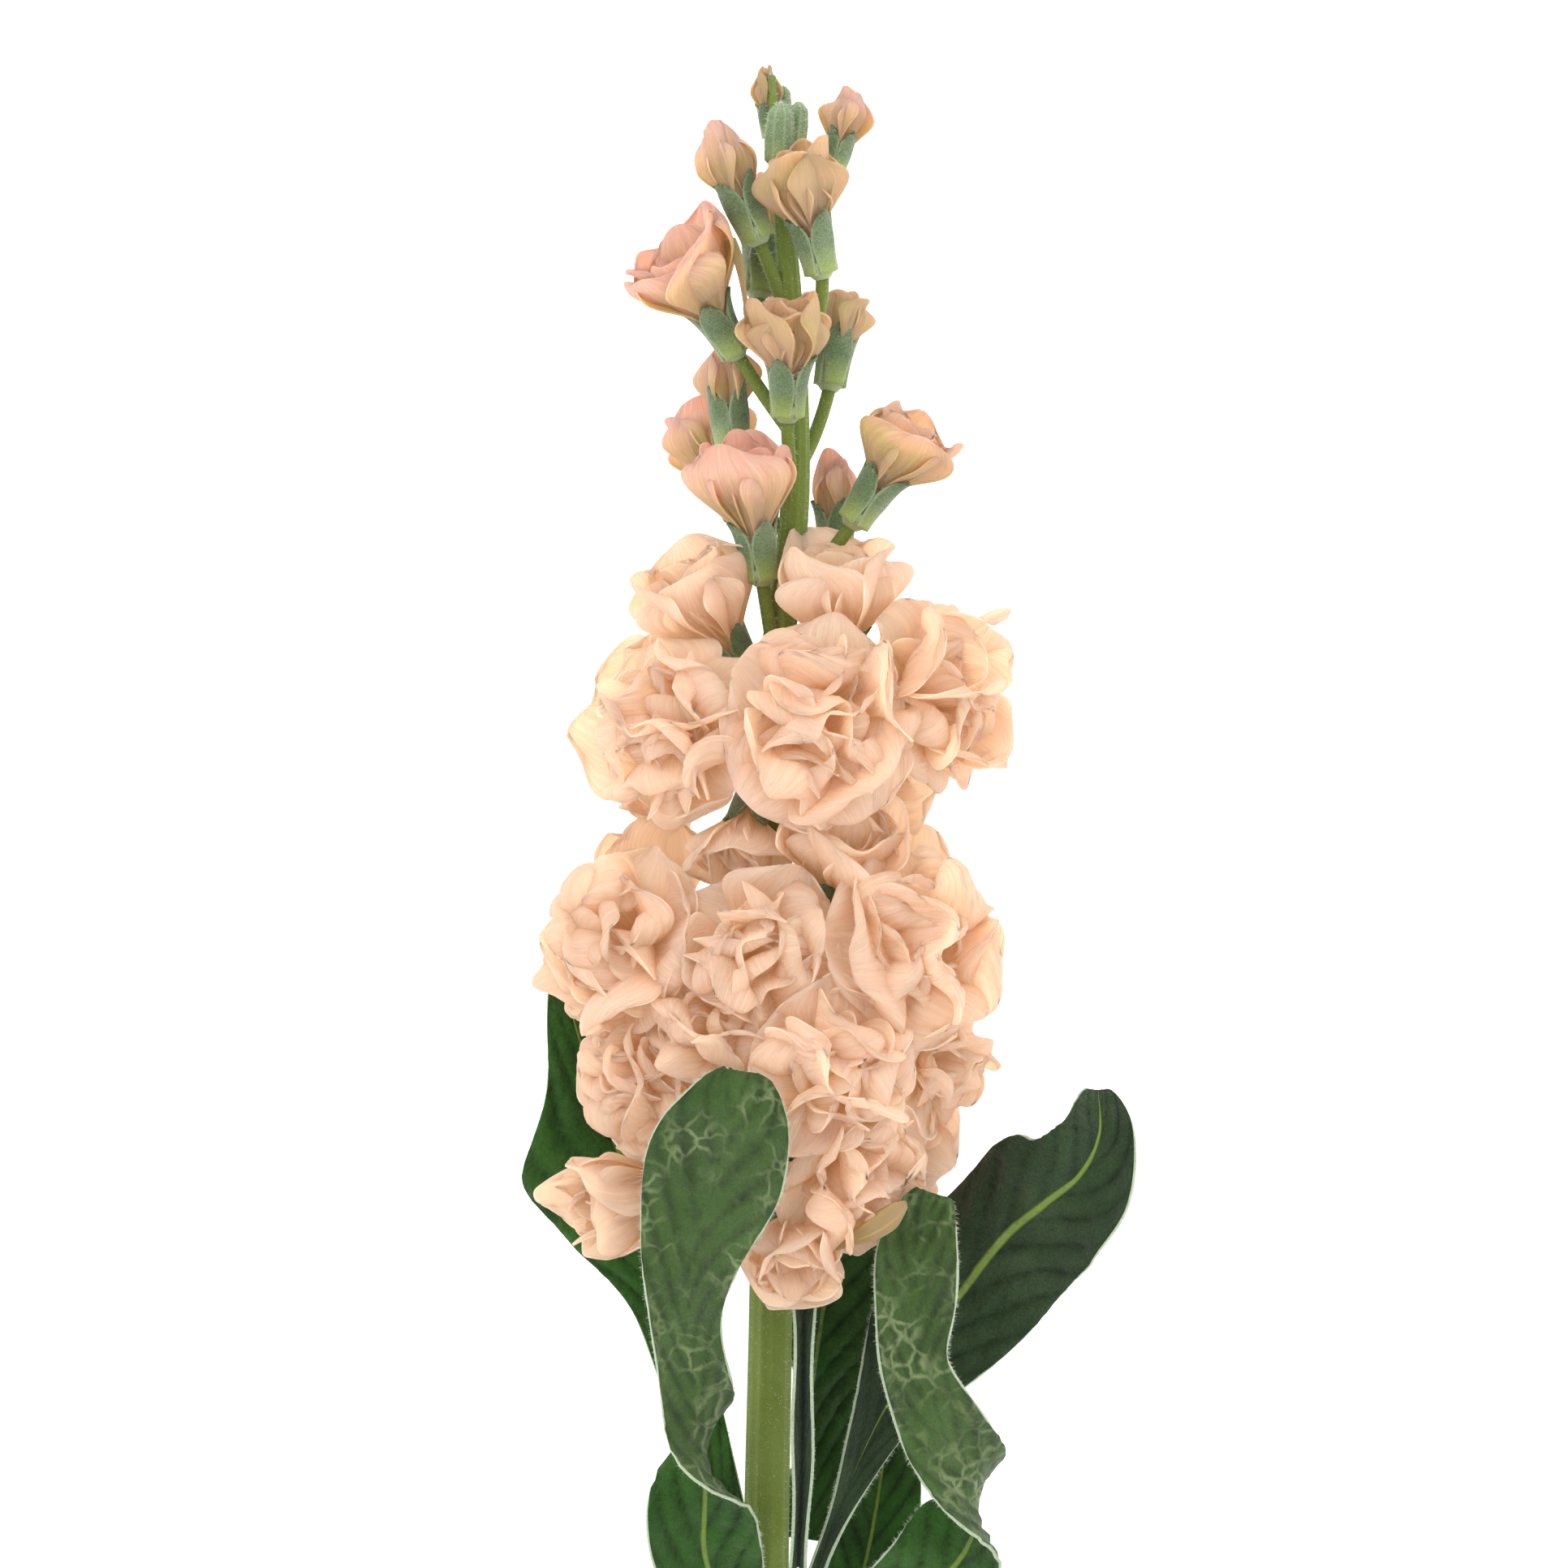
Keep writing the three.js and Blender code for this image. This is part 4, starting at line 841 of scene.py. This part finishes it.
def pedicelRod(flower):
    base = flowerBase(flower)
    scale = flower.get("small", 1)
    foot, axis = base["foot"], base["axis"]
    root = stemAt(min(foot[1] - stemShape["pedicelRise"] * scale, stemShape["length"] - 3))[0]
    bend = (foot - axis * 8 * scale) * 0.8 + root * 0.2
    t = np.linspace(0, 1, 12)[:, None]
    middles = root * (1 - t) ** 2 + bend * 2 * t * (1 - t) + foot * t ** 2
    radius = stemShape["pedicelRadius"] * math.sqrt(scale)
    return rod(middles, np.full(12, radius), 12, tone=(0.5, 0.2))


heights = np.linspace(0, stemShape["length"], 90)
stemGrids = [rod([stemAt(h)[0] for h in heights], [stemAt(h)[1] for h in heights], 44,
                 stemShape["ribs"], stemShape["ribDepth"])]
stemGrids += [pedicelRod(flower) for flower in flowers]
makePiece("greenStem", stemGrids, [stemSkin], ["stem"])
hidden = [grid for index, flower in enumerate(flowers) if not flower["name"].startswith("flower")
          for grid in sepalGrids(index, flower)]
makePiece("bloomSepals", hidden, [sepalFelt], thick=sepalLook["thick"])
print("stem made")


# closed green buds at the tip

closedBuds = [
    {"foot": (0.7, 405, 34.5), "face": (0.05, 1, 0.05), "length": 13, "radius": 3},
    {"foot": (4, 409.5, 32), "face": (0.1, 1, 0), "length": 9, "radius": 2.2},
    {"foot": (1.6, 415, 28), "face": (0.02, 1, -0.05), "length": 7, "radius": 1.6},
]


def closedBudGrids(bud):
    base = flowerBase(bud)
    shares = np.linspace(0, 1, 22)
    middles = base["foot"] + base["axis"] * (shares[:, None] * bud["length"])
    radii = bud["radius"] * np.interp(shares, [0, 0.1, 0.45, 0.85, 1], [0.5, 0.95, 1, 0.85, 0.3])
    body = rod(middles, radii, 32, 4, 0.09)
    root = stemAt(bud["foot"][1] - 12)[0]
    t = np.linspace(0, 1, 8)[:, None]
    stalk = rod(root * (1 - t) + (base["foot"] + base["axis"]) * t, np.full(8, 1.0), 12, tone=(0.6, 0.4))
    return [body, stalk]


tipGrids = [grid for bud in closedBuds for grid in closedBudGrids(bud)]
makePiece("closedBuds", tipGrids, [closedFelt])


# leaves: stations of x, y, z and half width, then the angles and bends of the right and left halves

bladeKeys = ("name", "mottled", "waves", "wave", "tip", "stations")
leaves = [dict(zip(bladeKeys, row)) for row in (
    ("leaf_front_left", True, 3, 0.8, 0.35, [
        (-6.5, 96, 15, 6, 10, 170, 30, -30), (-11, 110, 21, 10, 0, 180, 40, -45),
        (-14.5, 123, 26, 12.5, 0, 180, 35, -60), (-14, 136, 31, 12, 35, 215, 20, -40),
        (-14.5, 148, 37, 9.5, 130, 300, 0, 0), (-16.5, 160, 43, 7.5, 172, 350, -20, 30),
        (-18, 173, 50, 7.5, 182, 358, -30, 30), (-16.5, 187, 57, 10.8, 184, 360, -25, 25),
        (-12.5, 201, 63, 14.2, 184, 362, -20, 20), (-8.5, 213, 67, 13.6, 184, 362, -15, 15),
        (-6.5, 222.5, 68, 11, 182, 360, -5, 5)]),
    ("leaf_back_left", False, 2.5, 0.8, 0.3, [
        (-7, 112, 13, 5, -20, 200, 20, -20), (-11, 128, 11, 5, -10, 190, 20, -20),
        (-15, 144, 10, 5.5, 0, 180, 15, -20), (-19, 160, 9, 6, 5, 175, 12, -15),
        (-23, 175, 9, 8, 8, 172, 12, 10), (-27.5, 190, 9.5, 16, 10, 170, 12, 15),
        (-32.2, 205, 10, 21.5, 12, 168, 10, 15), (-37.5, 219, 11, 10.5, 12, 165, 10, 15),
        (-42, 233, 12, 5, 10, 160, 10, 20), (-42.5, 246, 13, 4, 10, 160, 10, -10),
        (-40.4, 257, 14, 3, 5, 175, 0, 0)]),
    ("leaf_front_right", True, 4, 0.9, 0.5, [
        (6, 88, 14, 6, 0, 180, 20, -20), (16, 99, 19, 9, -8, 188, 30, -30),
        (27, 110, 23, 12, -5, 180, 30, -30), (36, 119, 27, 13, 5, 190, 25, -30),
        (41, 128, 31, 12, 60, 240, 15, -20), (39.5, 138, 36, 10, 140, 315, -10, 20),
        (33.5, 149, 40, 9.2, 172, 350, -30, 30), (28, 162, 43, 7.4, 178, 356, -40, 40),
        (28.3, 175, 45, 8.8, 180, 360, -40, 40), (29, 187, 46, 9.2, 182, 362, -30, 30),
        (32, 197, 46, 7.5, 180, 360, 0, 0)]),
    ("leaf_right", False, 3, 1.2, 0.4, [
        (5.5, 106, 20, 3, 40, 140, 10, -10), (9.5, 121, 22, 3, 40, 140, 10, -10),
        (15, 136, 24, 4, 35, 140, 10, -10), (21.5, 150, 24, 7, 20, 150, 20, -15),
        (30, 164, 23, 12.5, 0, 170, 20, 10), (38.5, 176, 23, 16, -5, 190, 20, 30),
        (47, 187, 25, 17, -8, 195, 30, 40), (55, 194, 28, 16, -8, 165, 40, 50),
        (62, 200, 30, 14, 0, 140, 55, 40), (66, 208, 30, 10, 10, 150, 50, 20),
        (66, 217, 27, 6, 20, 160, 0, 0)]),
    ("leaf_back_right", False, 3, 1, 0.35, [
        (4.5, 124, 11, 5, -20, 200, 20, -20), (6.5, 140, 9, 8, -20, 120, 20, -20),
        (7.5, 156, 8, 11, -30, 110, 20, -20), (10, 172, 8.5, 12, 5, 150, 25, 30),
        (13.5, 187, 9.5, 11, 10, 165, 20, 20), (16.5, 198, 10, 8, 5, 175, 10, -10),
        (18.5, 206, 11, 4, 0, 180, 0, 0)]),
    ("leaf_narrow", False, 2, 0.3, 0.4, [
        (4.6, 120, 28, 4, 66, 108, 0, 0), (5.3, 136, 31.5, 5, 68, 110, 0, 0),
        (5.7, 152, 34, 5.5, 70, 110, 0, 0), (5.8, 170, 36.5, 5, 66, 114, 0, 0),
        (5.8, 186, 38, 3, 46, 134, 0, 0)]),
    ("leaf_low_left", False, 2, 1, 0.4, [
        (-7.5, 55, 9.5, 5, 0, 180, 30, -30), (-15, 65, 12, 9, -5, 185, 30, -30),
        (-25, 78, 11.5, 11, -8, 188, 15, -15), (-33.5, 92, 7, 9, -12, 192, 10, -10),
        (-38, 107, 2.4, 3, -8, 188, 0, 0)]),
    ("leaf_inner_right", False, 2, 0.8, 0.4, [
        (3, 66, 12, 4, 0, 180, 20, -20), (8, 84, 15, 7, 10, 180, 20, -20),
        (13.5, 102, 16, 9, 15, 175, 20, -20), (18.5, 119, 16, 10, 15, 170, 15, -15),
        (21.5, 135, 15, 9, 15, 170, 10, -10), (23.5, 151, 14, 4, 10, 175, 0, 0)]),
)]


leafLook = {
    "rows": 100, "columns": 29, "thick": 0.7, "lowest": 0.35,
    "sideVeins": 12, "veinSlant": 2.4, "bulge": 1.2,
    "tipLength": 0.2,  # the share of a blade that narrows to its tip
    "shadedLeaves": ("leaf_right", "leaf_narrow"),  # leaves whose upper face gets a darker copy of the green, as painted shade
    "coverFrom": 0.6, "coverGrid": (40, 21),  # the part of a front leaf that petals stay under
}


def leafPlaces(rows, columns, first=0):
    t, s = np.meshgrid(np.linspace(first, 1, rows), np.linspace(-1, 1, columns), indexing="ij")
    return s, t


def bulging(s, t):
    # how far the blade bulges between its side veins, from 0 to 1
    turns = leafLook["sideVeins"] * t - leafLook["veinSlant"] * np.abs(s) + 0.25 * np.sign(s)
    return np.abs(np.sin(np.pi * turns)) ** 0.7


def leafPoints(leaf, s, t):
    stations = leaf["stations"]
    now = along(stations, t)
    ahead, behind = (along(stations, np.clip(t + step, 0, 1))[..., :3] for step in (0.01, -0.01))
    way = ahead - behind
    way /= np.linalg.norm(way, axis=-1)[..., None]
    right = np.cross(way, [0.0, 0, 1])
    right /= np.linalg.norm(right, axis=-1)[..., None]
    up = np.cross(right, way)
    past = np.clip((t - (1 - leafLook["tipLength"])) / leafLook["tipLength"], 0, 1)
    half = now[..., 3] * np.sqrt(1 - (1 - leaf["tip"] ** 2) * past ** 2) * np.abs(s)
    start = np.radians(np.where(s > 0, now[..., 4], now[..., 5]))
    bend = np.radians(np.where(s > 0, now[..., 6], now[..., 7])) * np.abs(s) + 1e-4
    flat = half * (np.sin(start + bend) - np.sin(start)) / bend
    high = half * (np.cos(start) - np.cos(start + bend)) / bend
    wave = leaf["wave"] * s * s * np.sin(2 * np.pi * leaf["waves"] * t + np.where(s > 0, 0, 2))
    broad = np.clip((now[..., 3] - 5) / 5, 0, 1)
    wave = wave + 0.5 * broad * np.abs(s) * wavy(5 * s, 40 * t, 1.0)
    wave = wave + broad * leafLook["bulge"] * 4 * np.abs(s) * (1 - np.abs(s)) * (bulging(s, t) - 0.6)
    sign = np.where(s > 0, 1, -1)
    return (now[..., :3] + right * (flat - wave * np.sin(start))[..., None]
            + up * (high + wave * np.cos(start) * sign)[..., None])


def makeLeaf(leaf):
    s, t = leafPlaces(leafLook["rows"], leafLook["columns"])
    points = leafPoints(leaf, s, t)
    points[..., 2] = np.maximum(points[..., 2], leafLook["lowest"])
    # the fourth value is half the bulge pattern; the leaf material paints shade with it in the hollows
    # between bulges
    values = np.stack([s, t, np.full_like(s, 0.5), 0.5 * bulging(s, t)], -1)
    above = leafAboveShaded if leaf["name"] in leafLook["shadedLeaves"] else leafAbove
    below = leafMottled if leaf["mottled"] else leafBelow
    makePiece(leaf["name"] + "Blade", [(points, values, False)], [above, below, leafRim],
              [leaf["name"]], leafLook["thick"], rimOffset=2, backOffset=1)


for leaf in leaves:
    makeLeaf(leaf)
print("leaves made")

frontCovers = []
for leaf in leaves:
    if leaf["mottled"]:
        s, t = leafPlaces(*leafLook["coverGrid"], leafLook["coverFrom"])
        frontCovers.append(leafPoints(leaf, s, t).reshape(-1, 3))
for index, flower in enumerate(flowers):
    makeFlower(index, flower)
    if flower["name"].startswith("flower"):
        makePiece(flower["name"] + "Sepals", sepalGrids(index, flower), [sepalFelt],
                  [flower["name"] + "_calyx"], sepalLook["thick"])
print("flowers made")


# short pale hairs on margins, sepals, stalks and stem, each one slim triangle

hairLook = {
    "length": 0.95, "width": 0.07,
    "leafMargin": 1500, "sepal": 90, "sepalMargin": 70, "stalk": 200, "stem": 6000, "closedBud": 700,
}


def hairsOn(grid, count, rng, margin=False):
    # roots spread evenly over a grid's cells, and the way that each hair points
    points = grid[0]
    if grid[2]:
        points = np.concatenate([points, points[:, :1]], axis=1)
    rows, columns = points.shape[:2]
    i = rng.integers(0, rows - 1, count)
    f = rng.random((count, 1))
    if margin:
        side = rng.integers(0, 2, count)
        j, inner = np.where(side, columns - 1, 0), np.where(side, columns - 2, 1)
        root = points[i, j] * (1 - f) + points[i + 1, j] * f
        way = root - (points[i, inner] * (1 - f) + points[i + 1, inner] * f)
    else:
        j = rng.integers(0, columns - 1, count)
        g = rng.random((count, 1))
        root = ((points[i, j] * (1 - f) + points[i + 1, j] * f) * (1 - g)
                + (points[i, j + 1] * (1 - f) + points[i + 1, j + 1] * f) * g)
        way = np.cross(points[i + 1, j] - points[i, j], points[i, j + 1] - points[i, j])
        if not grid[2]:
            way = way * rng.choice([-1, 1], (count, 1))
    size = np.linalg.norm(way, axis=1)
    kept = size > 1e-6
    way = way[kept] / size[kept, None] + rng.normal(0, 0.35, (kept.sum(), 3))
    return root[kept], way / np.linalg.norm(way, axis=1)[:, None]


def makeHairs(name, parts, seed):
    rng = np.random.default_rng(seed)
    found = [hairsOn(grid, count, rng, margin) for grid, count, margin in parts]
    roots, ways = np.vstack([root for root, _ in found]), np.vstack([way for _, way in found])
    side = np.cross(ways, rng.normal(size=ways.shape))
    side *= hairLook["width"] / 2 / np.linalg.norm(side, axis=1)[:, None]
    tips = roots + ways * hairLook["length"] * rng.uniform(0.6, 1.3, (len(roots), 1))
    tips[:, 2] = np.maximum(tips[:, 2], 0.2)
    corners = np.stack([roots - side, roots + side, tips], axis=1).reshape(-1, 3)
    mesh = bpy.data.meshes.new(name)
    mesh.from_pydata(toWorld(corners).tolist(), [], np.arange(len(corners)).reshape(-1, 3).tolist())
    mesh.materials.append(paleHair)
    piece = addObject(name, mesh)
    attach(piece, "root")


leafGrids = []
for leaf in leaves:
    s, t = leafPlaces(leafLook["rows"], leafLook["columns"])
    leafGrids.append((leafPoints(leaf, s, t), None, False))
makeHairs("leafHairs", [(grid, hairLook["leafMargin"], True) for grid in leafGrids], 1)
sepalParts = []
for index, flower in enumerate(flowers):
    if flower["name"].startswith(("flower", "bud")):
        grids = sepalGrids(index, flower)
        sepalParts += [(grid, hairLook["sepal"], False) for grid in grids]
        sepalParts += [(grid, hairLook["sepalMargin"], True) for grid in grids[:sepalLook["count"]]]
        sepalParts.append((pedicelRod(flower), hairLook["stalk"], False))
makeHairs("sepalHairs", sepalParts, 2)
budParts = [(grid, hairLook["closedBud"], False) for grid in tipGrids]
makeHairs("stemHairs", [(stemGrids[0], hairLook["stem"], False)] + budParts, 3)
print("hairs made")


# a withered stub beside the lowest blooms, and a petal's thin claw that droops below an upper flower

extras = {
    "stub": {"middles": [(12, 187, 50), (15.5, 188.5, 54), (19.5, 190.5, 56), (23, 193, 55),
                         (26, 195, 52)],
             "radii": [1.2, 1.5, 2.2, 2.4, 0.9], "tone": (0.42, 0.95)},
    "claw": {"middles": [(-9, 389, 45), (-7.6, 386, 47), (-6.6, 381, 47.5), (-5.9, 376, 47),
                         (-5.8, 372.5, 46)],
             "radii": [1.3, 1.0, 0.6, 0.45, 0.3], "tone": (0.8, 0.35)},
}
for name, extra in extras.items():
    t = np.linspace(0, 1, 24)
    radii = along(np.array(extra["radii"])[:, None], t)[:, 0]
    grid = rod(along(extra["middles"], t), radii, 16, 3, 0.16, tone=extra["tone"])
    grid[1][..., 3] = 1.0
    makePiece(name, [grid], [budPetal])


# floor, light and camera

studio = {
    "floorTone": (0.93, 0.93, 0.93, 1), "floorGlow": 0.85, "skyStrength": 1.5,
    "keySize": 0.9, "keyPower": 5.5, "keyPlace": (-0.8, 0.75, 1.15),
    "fillPower": 3, "fillPlace": (0.9, -0.3, 1.1),
}
view = {"middleX": 1.8, "middleY": 279.6, "height": 35, "across": 318.8, "distance": 1.6, "sensor": 36}

floorMesh = bpy.data.meshes.new("floor")
reach = 6
corners = [(-reach, -reach, 0), (reach, -reach, 0), (reach, reach, 0), (-reach, reach, 0)]
floorMesh.from_pydata(corners, [], [(0, 1, 2, 3)])
floor = addObject("floor", floorMesh)
floor.location.z = -0.0005
floorPaint, _, floorShader = startMaterial("floorPaint", 0.9, 0.0, 0.0, (1, 1, 1), 0.0)
floorShader.inputs["Base Color"].default_value = studio["floorTone"]
floorShader.inputs["Emission Color"].default_value = (1, 1, 1, 1)
floorShader.inputs["Emission Strength"].default_value = studio["floorGlow"]
floorMesh.materials.append(floorPaint)

sky = bpy.data.worlds.new("softRoom")
sky.use_nodes = True
sky.node_tree.nodes["Background"].inputs["Color"].default_value = (1, 1, 1, 1)
sky.node_tree.nodes["Background"].inputs["Strength"].default_value = studio["skyStrength"]
bpy.context.scene.world = sky


def softLight(name, power, size, place):
    data = bpy.data.lights.new(name, "AREA")
    data.energy = power
    data.size = size
    lamp = addObject(name, data)
    lamp.location = place
    lamp.rotation_euler = (Vector((0, 0, 0)) - Vector(place)).to_track_quat("-Z", "Y").to_euler()


softLight("keyLight", studio["keyPower"], studio["keySize"], studio["keyPlace"])
softLight("fillLight", studio["fillPower"], studio["keySize"], studio["fillPlace"])

cameraData = bpy.data.cameras.new("camera")
cameraData.sensor_width = view["sensor"]
cameraData.lens = view["sensor"] * view["distance"] / (view["across"] * mm)
camera = addObject("camera", cameraData)
target = toWorld([view["middleX"], view["middleY"], view["height"]])
camera.location = (target[0], target[1], target[2] + view["distance"])
bpy.context.scene.camera = camera
bpy.context.scene.view_settings.view_transform = "Standard"
print("camera and lights set")
